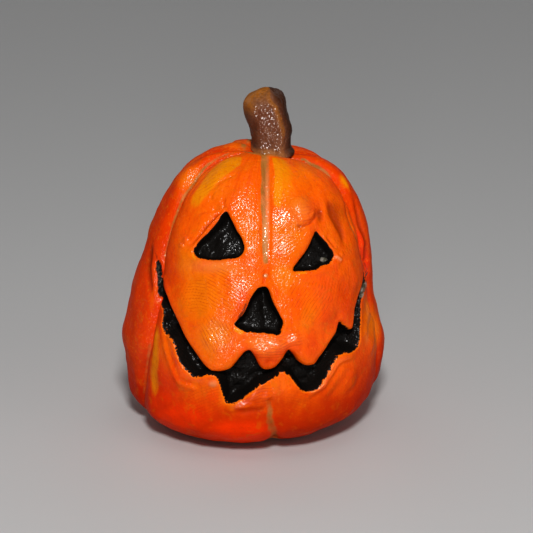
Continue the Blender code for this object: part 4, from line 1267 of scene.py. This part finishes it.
# ------------------------------------------------------------------ the stem
def make_stem():
    """A thick roll of clay with a slanted soft tip, pinched where it was rolled."""
    sides, rings = 160, 130
    foot, top = SEAT_Z + 0.03, STEM_TOP - 0.05
    rows = []
    soft, pit = Lumps(83, 2.4, 14), Lumps(81, 0.55, 20)
    turn = np.linspace(0, 2 * math.pi, sides, endpoint=False)
    deg = (np.degrees(turn) + 180) % 360 - 180
    for j in range(rings + 1):
        t = j / rings
        # the share of height, and how far the ring has closed in, at the foot and the tip
        if t < 0.08:
            k, size = 0.0, t / 0.08
        elif t < 0.68:
            k, size = (t - 0.08) / 0.60 * STEM_TIP, 1.0
        else:
            q = (t - 0.68) / 0.32 * math.pi / 2
            k, size = STEM_TIP + (1 - STEM_TIP) * math.sin(q), max(math.cos(q), 0.0)
        r = float(natural_spline(STEM_SHARE, STEM_RADIUS, np.array(min(k, STEM_TIP)))) + 0 * turn
        crest = float(np.interp(k, (0.1, 0.6, 0.8, 0.95), (25, 28, 22, -12)))
        near = lambda at, wide: np.exp(-((((deg - at + 180) % 360 - 180) / wide) ** 2))
        r *= 1 + 0.060 * near(crest, 11) * smooth(k / 0.15) - 0.075 * near(crest - 30, 24) - 0.045 * near(crest + 36, 22)
        r *= 1 + 0.03 * near(-78, 20) * smooth((k - 0.3) / 0.3) + 0.02 * near(150, 30) - 0.04 * near(200, 24)
        r += 0.30 * math.exp(-((k / 0.06) ** 2)) * (0.5 + 0.5 * np.cos(turn - 1.6))
        r *= size
        x = float(natural_spline(STEM_SHARE, STEM_MIDDLE, np.array(k))) + r * np.sin(turn)
        y = STEM_Y - 0.2 * k - r * np.cos(turn)
        slope = (seat_at(x, y) - SEAT_Z) * (1 - smooth(np.array(k / 0.3)))
        z = foot + (top - foot) * k + slope
        rows.append(np.stack((x, y, z), 1))
    points = np.concatenate([rows[0][:1]] + rows[1:-1] + [rows[-1][:1]])
    faces = []
    ring_at = lambda j, i: 1 + (j - 1) * sides + i % sides
    i = np.arange(sides)
    for j in range(1, rings - 1):
        faces.append(np.stack((ring_at(j, i), ring_at(j, i + 1), ring_at(j + 1, i + 1), ring_at(j + 1, i)), 1))
    quads = np.concatenate(faces)
    last = len(points) - 1
    under = np.stack((np.zeros(sides, int), ring_at(1, i + 1), ring_at(1, i)), 1)
    tip = np.stack((np.full(sides, last), ring_at(rings - 1, i), ring_at(rings - 1, i + 1)), 1)
    mesh = bpy.data.meshes.new("stem_skin")
    mesh.from_pydata((points * MM).tolist(), [], under.tolist() + quads.tolist() + tip.tolist())
    mesh.update()
    normals = np.empty(len(points) * 3, F4)
    mesh.vertices.foreach_get("normal", normals)
    normals = normals.reshape(-1, 3)
    lift = 0.055 * soft(points) + 0.016 * pit(points)
    lift *= smooth((points[:, 2] - foot - 0.4) / 0.8)
    points = points + normals * lift[:, None]
    mesh.vertices.foreach_set("co", (points * MM).astype(F4).ravel())
    mesh.update()
    mesh.shade_smooth()
    made = new_object("stem_skin", mesh)
    k = np.clip((points[:, 2] - foot) / (top - foot), 0, 1)
    across = points[:, 0] - natural_spline(STEM_SHARE, STEM_MIDDLE, k)
    turn = np.degrees(np.arctan2(across, STEM_Y - 0.2 * k - points[:, 1]))
    attribute(mesh, "turn", turn - np.interp(k, (0.1, 0.6, 0.8, 0.95), (25, 28, 22, -12)))
    attribute(mesh, "height", k)
    return made


STEM = make_stem()


# --------------------------------------------------------------- the material
class Net:
    """A node tree that is written as calls."""

    def __init__(self, name):
        self.material = bpy.data.materials.new(name)
        self.material.use_nodes = True
        self.tree = self.material.node_tree
        self.shader = self.tree.nodes["Principled BSDF"]
        self.output = self.tree.nodes["Material Output"]
        self.place = self.node("ShaderNodeTexCoord").outputs["Object"]

    def node(self, kind, **settings):
        made = self.tree.nodes.new(kind)
        for key, value in settings.items():
            setattr(made, key, value)
        return made

    def feed(self, socket, value):
        if isinstance(value, bpy.types.NodeSocket):
            self.tree.links.new(value, socket)
        elif isinstance(value, tuple) and len(value) == 3 and socket.type == "RGBA":
            socket.default_value = (*value, 1.0)
        else:
            socket.default_value = value

    def attr(self, name):
        return self.node("ShaderNodeAttribute", attribute_name=name).outputs["Fac"]

    def math(self, operation, a, b=0.0, c=0.0, clamp=False):
        n = self.node("ShaderNodeMath", operation=operation, use_clamp=clamp)
        for socket, value in zip(n.inputs, (a, b, c)):
            self.feed(socket, value)
        return n.outputs[0]

    def add(self, a, b):
        return self.math("ADD", a, b)

    def times(self, a, b):
        return self.math("MULTIPLY", a, b)

    def ramp(self, value, low, high, to_low=0.0, to_high=1.0, kind="SMOOTHSTEP"):
        n = self.node("ShaderNodeMapRange", interpolation_type=kind)
        for socket, v in zip(n.inputs[:5], (value, low, high, to_low, to_high)):
            self.feed(socket, v)
        return n.outputs[0]

    def noise(self, scale, detail=2.0, rough=0.5, distort=0.0, place=None, stretch=None):
        source = place if place is not None else self.place
        if stretch is not None:
            m = self.node("ShaderNodeMapping")
            m.inputs["Scale"].default_value = stretch
            self.feed(m.inputs["Vector"], source)
            source = m.outputs[0]
        n = self.node("ShaderNodeTexNoise")
        self.feed(n.inputs["Vector"], source)
        n.inputs["Scale"].default_value = scale
        n.inputs["Detail"].default_value = detail
        n.inputs["Roughness"].default_value = rough
        n.inputs["Distortion"].default_value = distort
        return n.outputs["Fac"]

    def mix(self, share, a, b, blend="MIX"):
        n = self.node("ShaderNodeMix", data_type="RGBA", blend_type=blend, clamp_factor=True)
        self.feed(n.inputs["Factor"], share)
        for socket, value in ((n.inputs[6], a), (n.inputs[7], b)):
            self.feed(socket, value)
        return n.outputs[2]

    def bump(self, height, distance, strength=1.0, normal=None):
        n = self.node("ShaderNodeBump")
        n.inputs["Strength"].default_value = strength
        n.inputs["Distance"].default_value = distance
        self.feed(n.inputs["Height"], height)
        if normal is not None:
            self.feed(n.inputs["Normal"], normal)
        return n.outputs[0]


def linear(r, g, b):
    """An 8 bit display colour as the linear colour that the shader takes."""
    out = []
    for c in (r, g, b):
        c /= 255
        out.append(c / 12.92 if c <= 0.04045 else ((c + 0.055) / 1.055) ** 2.4)
    return tuple(out)


def clay_material():
    m = Net("painted_clay")
    ink, rag = m.attr("ink"), m.attr("rag")
    turn, rise = m.attr("turn"), m.attr("rise")
    # coordinates that follow the lobes: round the body and up it
    lobes = m.node("ShaderNodeCombineXYZ")
    m.feed(lobes.inputs[0], m.times(turn, 0.34))
    m.feed(lobes.inputs[1], m.times(rise, 0.16))
    streak = m.noise(0.9, 3.0, 0.55, 0.6, place=lobes.outputs[0])
    streak_fine = m.noise(2.6, 3.0, 0.6, 0.4, place=lobes.outputs[0])
    broad = m.noise(95.0, 3.0, 0.55, 0.4)
    patch = m.noise(230.0, 3.0, 0.55, 0.5)
    fine = m.noise(900.0, 4.0, 0.6)

    orange = linear(252, 104, 0)
    amber = linear(242, 122, 2)
    # red is both a random tone of the paint and the colour of the painted shade round the sides; deep is the painted
    # shade at the very bottom
    red_tone_and_shade = linear(220, 56, 0)
    deep_shade = linear(176, 30, 0)
    yellow = linear(240, 142, 0)
    khaki_dark = linear(158, 120, 58)
    khaki_pale = linear(196, 134, 74)
    wash_and_shade = linear(128, 30, 3)
    black = linear(23, 20, 18)

    def off(value, amount):
        return m.times(m.math("SUBTRACT", value, 0.5), amount)

    colour = m.mix(m.times(m.ramp(streak, 0.44, 0.66), 0.30), orange, red_tone_and_shade)
    colour = m.mix(m.times(m.ramp(patch, 0.50, 0.70), 0.40), colour, amber)
    # painted shade: round the sides and low down the coat is painted redder and darker, where the light falls off
    sides = m.math("SUBTRACT", m.math("ABSOLUTE", turn), m.times(m.math("MAXIMUM", m.math("SUBTRACT", rise, 22.0), 0.0), 1.1))
    sides = m.ramp(m.add(sides, off(broad, 60.0)), 30.0, 70.0)
    low = m.ramp(m.add(rise, off(patch, 7.0)), 14.5, 6.5)
    colour = m.mix(m.times(sides, 0.85), colour, red_tone_and_shade)
    colour = m.mix(m.times(low, 0.85), colour, linear(188, 38, 0))
    # painted shade: darkest red at the very bottom
    lowest_shade = m.ramp(m.add(rise, off(patch, 5.0)), 10.0, 2.0)
    colour = m.mix(m.times(lowest_shade, 0.25), colour, deep_shade)
    # the back is brushed with both
    back = m.times(m.ramp(m.math("ABSOLUTE", turn), 80.0, 110.0), m.ramp(streak_fine, 0.46, 0.66))
    colour = m.mix(m.times(back, 0.6), colour, amber)

    # the ridges of the fingers' skin: round on top with sharp valleys, along each print's count
    ridges = None
    for name in "ab":
        wobble = off(m.noise(420.0, 2.0, 0.5), 1.3)
        wave = m.math("ABSOLUTE", m.math("SINE", m.times(m.add(m.attr("phase_" + name), wobble), math.pi)))
        height = m.times(m.math("SUBTRACT", wave, 0.64), m.attr("clear_" + name))
        ridges = height if ridges is None else m.add(ridges, height)
    prints = m.math("MAXIMUM", m.attr("clear_a"), m.attr("clear_b"))
    # grain: pigment that settled between the ridges, and worn spots
    speck = m.noise(1750.0, 3.0, 0.65)
    mid = m.noise(560.0, 3.0, 0.6, 0.8)
    # less amber where the sides and the low part carry painted shade
    warm = m.math("SUBTRACT", m.add(m.attr("amber"), off(patch, 0.7)), m.times(m.math("MAXIMUM", sides, low), 0.25))
    colour = m.mix(m.times(m.ramp(warm, 0.12, 0.85), 0.95), colour, amber)
    colour = m.mix(m.times(m.ramp(m.add(m.attr("bright"), off(patch, 0.5)), 0.05, 0.95), 0.9), colour, linear(252, 62, 0))
    colour = m.mix(m.times(m.ramp(m.add(m.attr("rose"), off(patch, 0.3)), 0.0, 0.9), 0.8), colour, linear(238, 64, 0))
    y_edge = m.add(m.attr("yellow"), m.add(off(streak_fine, 0.5), off(fine, 0.25)))
    colour = m.mix(m.times(m.ramp(y_edge, 0.10, 0.80), 0.95), colour, yellow)
    colour = m.mix(m.times(m.ramp(mid, 0.54, 0.70), 0.34), colour, linear(214, 112, 14))
    colour = m.mix(m.times(m.ramp(speck, 0.52, 0.72), 0.30), colour, linear(210, 60, 1))
    colour = m.mix(m.times(m.times(m.ramp(speck, 0.46, 0.26), 0.34), m.ramp(rise, 6.0, 15.0, 0.2, 1.0)), colour, linear(255, 140, 30))
    valley = m.times(m.ramp(ridges, -0.02, -0.42), m.ramp(fine, 0.35, 0.6, 0.3, 1.0))
    colour = m.mix(m.times(valley, 0.50), colour, linear(196, 62, 2))
    k_edge = m.add(m.attr("khaki"), off(fine, 0.8))
    khaki = m.mix(m.ramp(m.noise(420.0, 3.0, 0.6), 0.42, 0.62), khaki_dark, khaki_pale)
    colour = m.mix(m.times(m.ramp(k_edge, 0.16, 0.85), 0.85), colour, khaki)
    # painted shade: the dark map darkens hollows, creases and the sides of grooves towards dark red
    d = m.add(m.attr("dark"), off(fine, 0.3))
    colour = m.mix(m.times(m.ramp(d, 0.1, 0.9), 0.7), colour, wash_and_shade)
    # creases painted darker: wash that pooled in them, and painted shade
    crease = m.attr("crease")
    colour = m.mix(m.times(m.ramp(crease, 0.16, 0.75), 0.62), colour, wash_and_shade)
    # painted highlights and pale paint
    colour = m.mix(m.times(m.attr("pale_and_highlight"), 0.6), colour, linear(238, 158, 108))
    # a thin bright rim where the brush missed, along the jaw's side of the black
    rim_edge = m.ramp(ink, 0.08, 0.34, 1.0, 0.0)
    colour = m.mix(m.times(m.times(rim_edge, rag), 0.7), colour, linear(250, 124, 6))
    # black paint, crisp under the cheeks and ragged on the jaw
    jagged = m.times(off(m.noise(1500.0, 3.0, 0.65), 0.9), m.add(m.times(rag, 0.85), 0.12))
    black_share = m.ramp(m.add(ink, jagged), -0.02, 0.06, 1.0, 0.0)
    colour = m.mix(black_share, colour, black)
    colour = m.mix(m.times(m.attr("soot"), 0.92), colour, black)
    # painted glints: light grey speckled on the black
    grey_glint = m.times(m.ramp(m.add(m.attr("grey_glint"), off(speck, 2.2)), 0.34, 0.72), m.ramp(m.attr("grey_glint"), 0.0, 0.12))
    glint_colour = m.mix(m.ramp(fine, 0.42, 0.60), linear(76, 74, 58), linear(150, 142, 132))
    colour = m.mix(m.times(grey_glint, 0.85), colour, glint_colour)
    m.feed(m.shader.inputs["Base Color"], colour)

    rough = m.ramp(m.noise(520.0, 4.0, 0.6), 0.3, 0.75, 0.42, 0.62)
    rough = m.add(rough, m.times(m.attr("khaki"), 0.06))
    rough_black = m.ramp(m.noise(700.0, 3.0, 0.6), 0.35, 0.7, 0.34, 0.56)
    r = m.node("ShaderNodeMix", data_type="FLOAT")
    m.feed(r.inputs[0], black_share)
    m.feed(r.inputs[2], rough)
    m.feed(r.inputs[3], rough_black)
    m.feed(m.shader.inputs["Roughness"], r.outputs[0])
    m.shader.inputs["Specular IOR Level"].default_value = 0.04
    slant = m.node("ShaderNodeLayerWeight")
    slant.inputs["Blend"].default_value = 0.5
    gloss = m.ramp(slant.outputs["Facing"], 0.24, 0.62, 1.0, 0.05)
    plain = m.times(m.ramp(rise, 7.0, 17.0, 0.03, 1.0), m.math("SUBTRACT", 1.0, m.times(m.attr("dull"), 0.92)))
    gloss = m.times(gloss, m.add(plain, m.attr("shine")))
    m.feed(m.shader.inputs["Coat Weight"], m.times(gloss, m.ramp(black_share, 0.0, 1.0, 0.42, 0.22, "LINEAR")))
    m.shader.inputs["Coat Roughness"].default_value = 0.20

    # relief too fine for the mesh: the pores and ridges of the fingers' skin
    pores = m.node("ShaderNodeTexVoronoi", feature="F1")
    warp = m.node("ShaderNodeVectorMath", operation="ADD")
    wander = m.node("ShaderNodeTexNoise")
    wander.inputs["Scale"].default_value = 1200.0
    m.feed(wander.inputs["Vector"], m.place)
    shift = m.node("ShaderNodeVectorMath", operation="SCALE")
    m.feed(shift.inputs[0], wander.outputs["Color"])
    shift.inputs["Scale"].default_value = 0.00022
    m.feed(warp.inputs[0], m.place)
    m.feed(warp.inputs[1], shift.outputs[0])
    m.feed(pores.inputs["Vector"], warp.outputs[0])
    pores.inputs["Scale"].default_value = 2350.0
    broken = m.ramp(m.noise(2300.0, 2.0, 0.5), 0.40, 0.58, 0.0, 1.0)
    on_skin = m.ramp(ink, -0.1, 0.4)
    ridges = m.times(m.times(ridges, broken), on_skin)
    # each pore is the round top of a small cushion
    leather = m.times(m.times(pores.outputs["Distance"], pores.outputs["Distance"]), -1.0)
    leather = m.times(leather, m.ramp(patch, 0.38, 0.58, 0.70, 1.0))
    leather = m.times(leather, m.ramp(prints, 0.1, 0.8, 1.0, 0.35))
    grit = m.noise(2600.0, 2.0, 0.5)
    lumpy = m.times(m.noise(1150.0, 3.0, 0.6), black_share)
    # the clay shows it softly, the varnish on it glints at every grain
    for socket, ridge_size, grain, rough_size in (
        ("Normal", 0.000022, 0.00004, 0.00002), ("Coat Normal", 0.000036, 0.00010, 0.00003)
    ):
        normal = m.bump(ridges, ridge_size)
        normal = m.bump(leather, grain, 1.0, normal)
        normal = m.bump(grit, rough_size, 1.0, normal)
        normal = m.bump(m.times(m.noise(620.0, 3.0, 0.5), m.ramp(ink, -0.1, 0.3, 0.2, 1.0)), 0.00003, 1.0, normal)
        normal = m.bump(lumpy, 0.00004, 1.0, normal)
        m.feed(m.shader.inputs[socket], normal)
    return m.material


def stem_material():
    m = Net("painted_stem")
    turn, height = m.attr("turn"), m.attr("height")
    broad = m.noise(240.0, 3.0, 0.55)
    fine = m.noise(1100.0, 3.0, 0.6)
    brown = linear(124, 80, 56)
    ochre = linear(166, 102, 34)
    dark = linear(66, 36, 20)
    khaki = linear(170, 112, 60)

    def off(value, amount):
        return m.times(m.math("SUBTRACT", value, 0.5), amount)

    colour = m.mix(m.ramp(broad, 0.4, 0.62), brown, linear(112, 64, 40))
    side = m.ramp(m.add(turn, off(broad, 26.0)), 6.0, 44.0)
    colour = m.mix(m.times(side, 0.9), colour, dark)
    left = m.times(m.ramp(m.add(turn, off(broad, 30.0)), -46.0, -72.0), m.ramp(height, 0.60, 0.86))
    colour = m.mix(m.times(m.ramp(turn, -52.0, -82.0), 0.45), colour, dark)
    colour = m.mix(m.times(left, 0.8), colour, ochre)
    over = m.times(m.ramp(turn, 20.0, -30.0), m.ramp(m.add(height, off(broad, 0.2)), 0.80, 0.95))
    colour = m.mix(m.times(over, 0.88), colour, ochre)
    line = m.ramp(m.math("ABSOLUTE", m.math("SUBTRACT", m.add(turn, off(broad, 12.0)), 3.0)), 3.0, 13.0, 1.0, 0.0)
    line = m.times(line, m.ramp(height, 0.1, 0.5, 0.15, 0.6))
    colour = m.mix(line, colour, ochre)
    low = m.ramp(m.add(height, off(fine, 0.12)), 0.14, 0.03)
    front = m.ramp(turn, 20.0, -10.0, 0.0, 0.9)
    colour = m.mix(m.times(low, front), colour, khaki)
    colour = m.mix(m.ramp(fine, 0.55, 0.75, 0.0, 0.35), colour, linear(60, 34, 22))
    m.feed(m.shader.inputs["Base Color"], colour)
    m.feed(m.shader.inputs["Roughness"], m.ramp(fine, 0.3, 0.7, 0.26, 0.48))
    m.shader.inputs["Specular IOR Level"].default_value = 0.05
    slant = m.node("ShaderNodeLayerWeight")
    slant.inputs["Blend"].default_value = 0.5
    m.feed(m.shader.inputs["Coat Weight"], m.ramp(slant.outputs["Facing"], 0.25, 0.65, 0.9, 0.05))
    m.shader.inputs["Coat Roughness"].default_value = 0.17
    pebble = m.node("ShaderNodeTexVoronoi", feature="F1")
    m.feed(pebble.inputs["Vector"], m.place)
    pebble.inputs["Scale"].default_value = 1700.0
    cushion = m.times(m.times(pebble.outputs["Distance"], pebble.outputs["Distance"]), -1.0)
    leathery = m.times(cushion, m.ramp(m.math("ABSOLUTE", m.add(turn, 24.0)), 28.0, 50.0, 1.0, 0.25))
    # the varnish ran down and set thicker below, so it leans back
    for socket, size, grain, leans in (("Normal", 0.00012, 0.00005, 0.0), ("Coat Normal", 0.00022, 0.00003, 0.0048)):
        normal = m.bump(leathery, size, 1.0)
        if leans:
            normal = m.bump(m.times(height, -1.0), leans, 1.0, normal)
        normal = m.bump(m.noise(1500.0, 3.0, 0.6), grain, 1.0, normal)
        m.feed(m.shader.inputs[socket], normal)
    return m.material


CLAY.data.materials.clear()
CLAY.data.materials.append(clay_material())
STEM.data.materials.append(stem_material())
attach(CLAY, "root")
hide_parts("pumpkin")
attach(STEM, "root")
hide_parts("stem")


# ---------------------------------------------------- floor, lights and camera
def make_floor():
    bpy.ops.mesh.primitive_plane_add(size=4.0, location=(0, 0, 0))
    floor = bpy.context.object
    floor.name = "floor"
    m = Net("pale_floor")
    m.shader.inputs["Base Color"].default_value = (0.58, 0.575, 0.57, 1)
    m.shader.inputs["Roughness"].default_value = 0.8
    floor.data.materials.append(m.material)


def area_light(name, place, size, power, colour=(1, 1, 1), aim=(0, 0, 0.022)):
    data = bpy.data.lights.new(name, "AREA")
    data.shape = "DISK"
    data.size = size
    data.energy = power
    data.color = colour
    made = bpy.data.objects.new(name, data)
    bpy.context.scene.collection.objects.link(made)
    made.location = place
    made.rotation_mode = "QUATERNION"
    made.rotation_quaternion = (Vector(aim) - Vector(place)).to_track_quat("-Z", "Y")


make_floor()
low = EYE_AT - UP_WAY * 112 - RIGHT_WAY * 20
area_light("key", tuple(LAMP_AT * MM), 0.07, 1.22)
area_light("low", tuple(low * MM), 0.045, 0.21)
area_light("fill_right", (0.45, -0.30, 0.20), 0.4, 0.20)
area_light("fill", (-0.60, -0.10, 0.55), 0.9, 0.15)
area_light("back_left", (-0.34, 0.64, 0.34), 0.6, 0.42)
area_light("back_right", (0.38, 0.62, 0.34), 0.6, 0.42)
area_light("top", (0.05, -0.12, 0.85), 0.5, 0.42)

world = bpy.data.worlds.new("studio")
world.use_nodes = True
world.node_tree.nodes["Background"].inputs["Color"].default_value = (0.95, 0.97, 1.0, 1)
world.node_tree.nodes["Background"].inputs["Strength"].default_value = 0.06
bpy.context.scene.world = world

camera_data = bpy.data.cameras.new("camera")
camera_data.sensor_width = 36.0
camera_data.lens = 36.0 * FOCAL_PX / FRAME_PX
camera_data.clip_start, camera_data.clip_end = 0.01, 20.0
camera = bpy.data.objects.new("camera", camera_data)
bpy.context.scene.collection.objects.link(camera)
turned = Matrix((RIGHT_WAY, UP_WAY, BACK_WAY)).transposed()
camera.matrix_world = Matrix.Translation(Vector(EYE_AT) * MM) @ turned.to_4x4()
bpy.context.scene.camera = camera
bpy.context.scene.view_settings.view_transform = "Standard"
bpy.context.scene.view_settings.look = "Medium High Contrast"
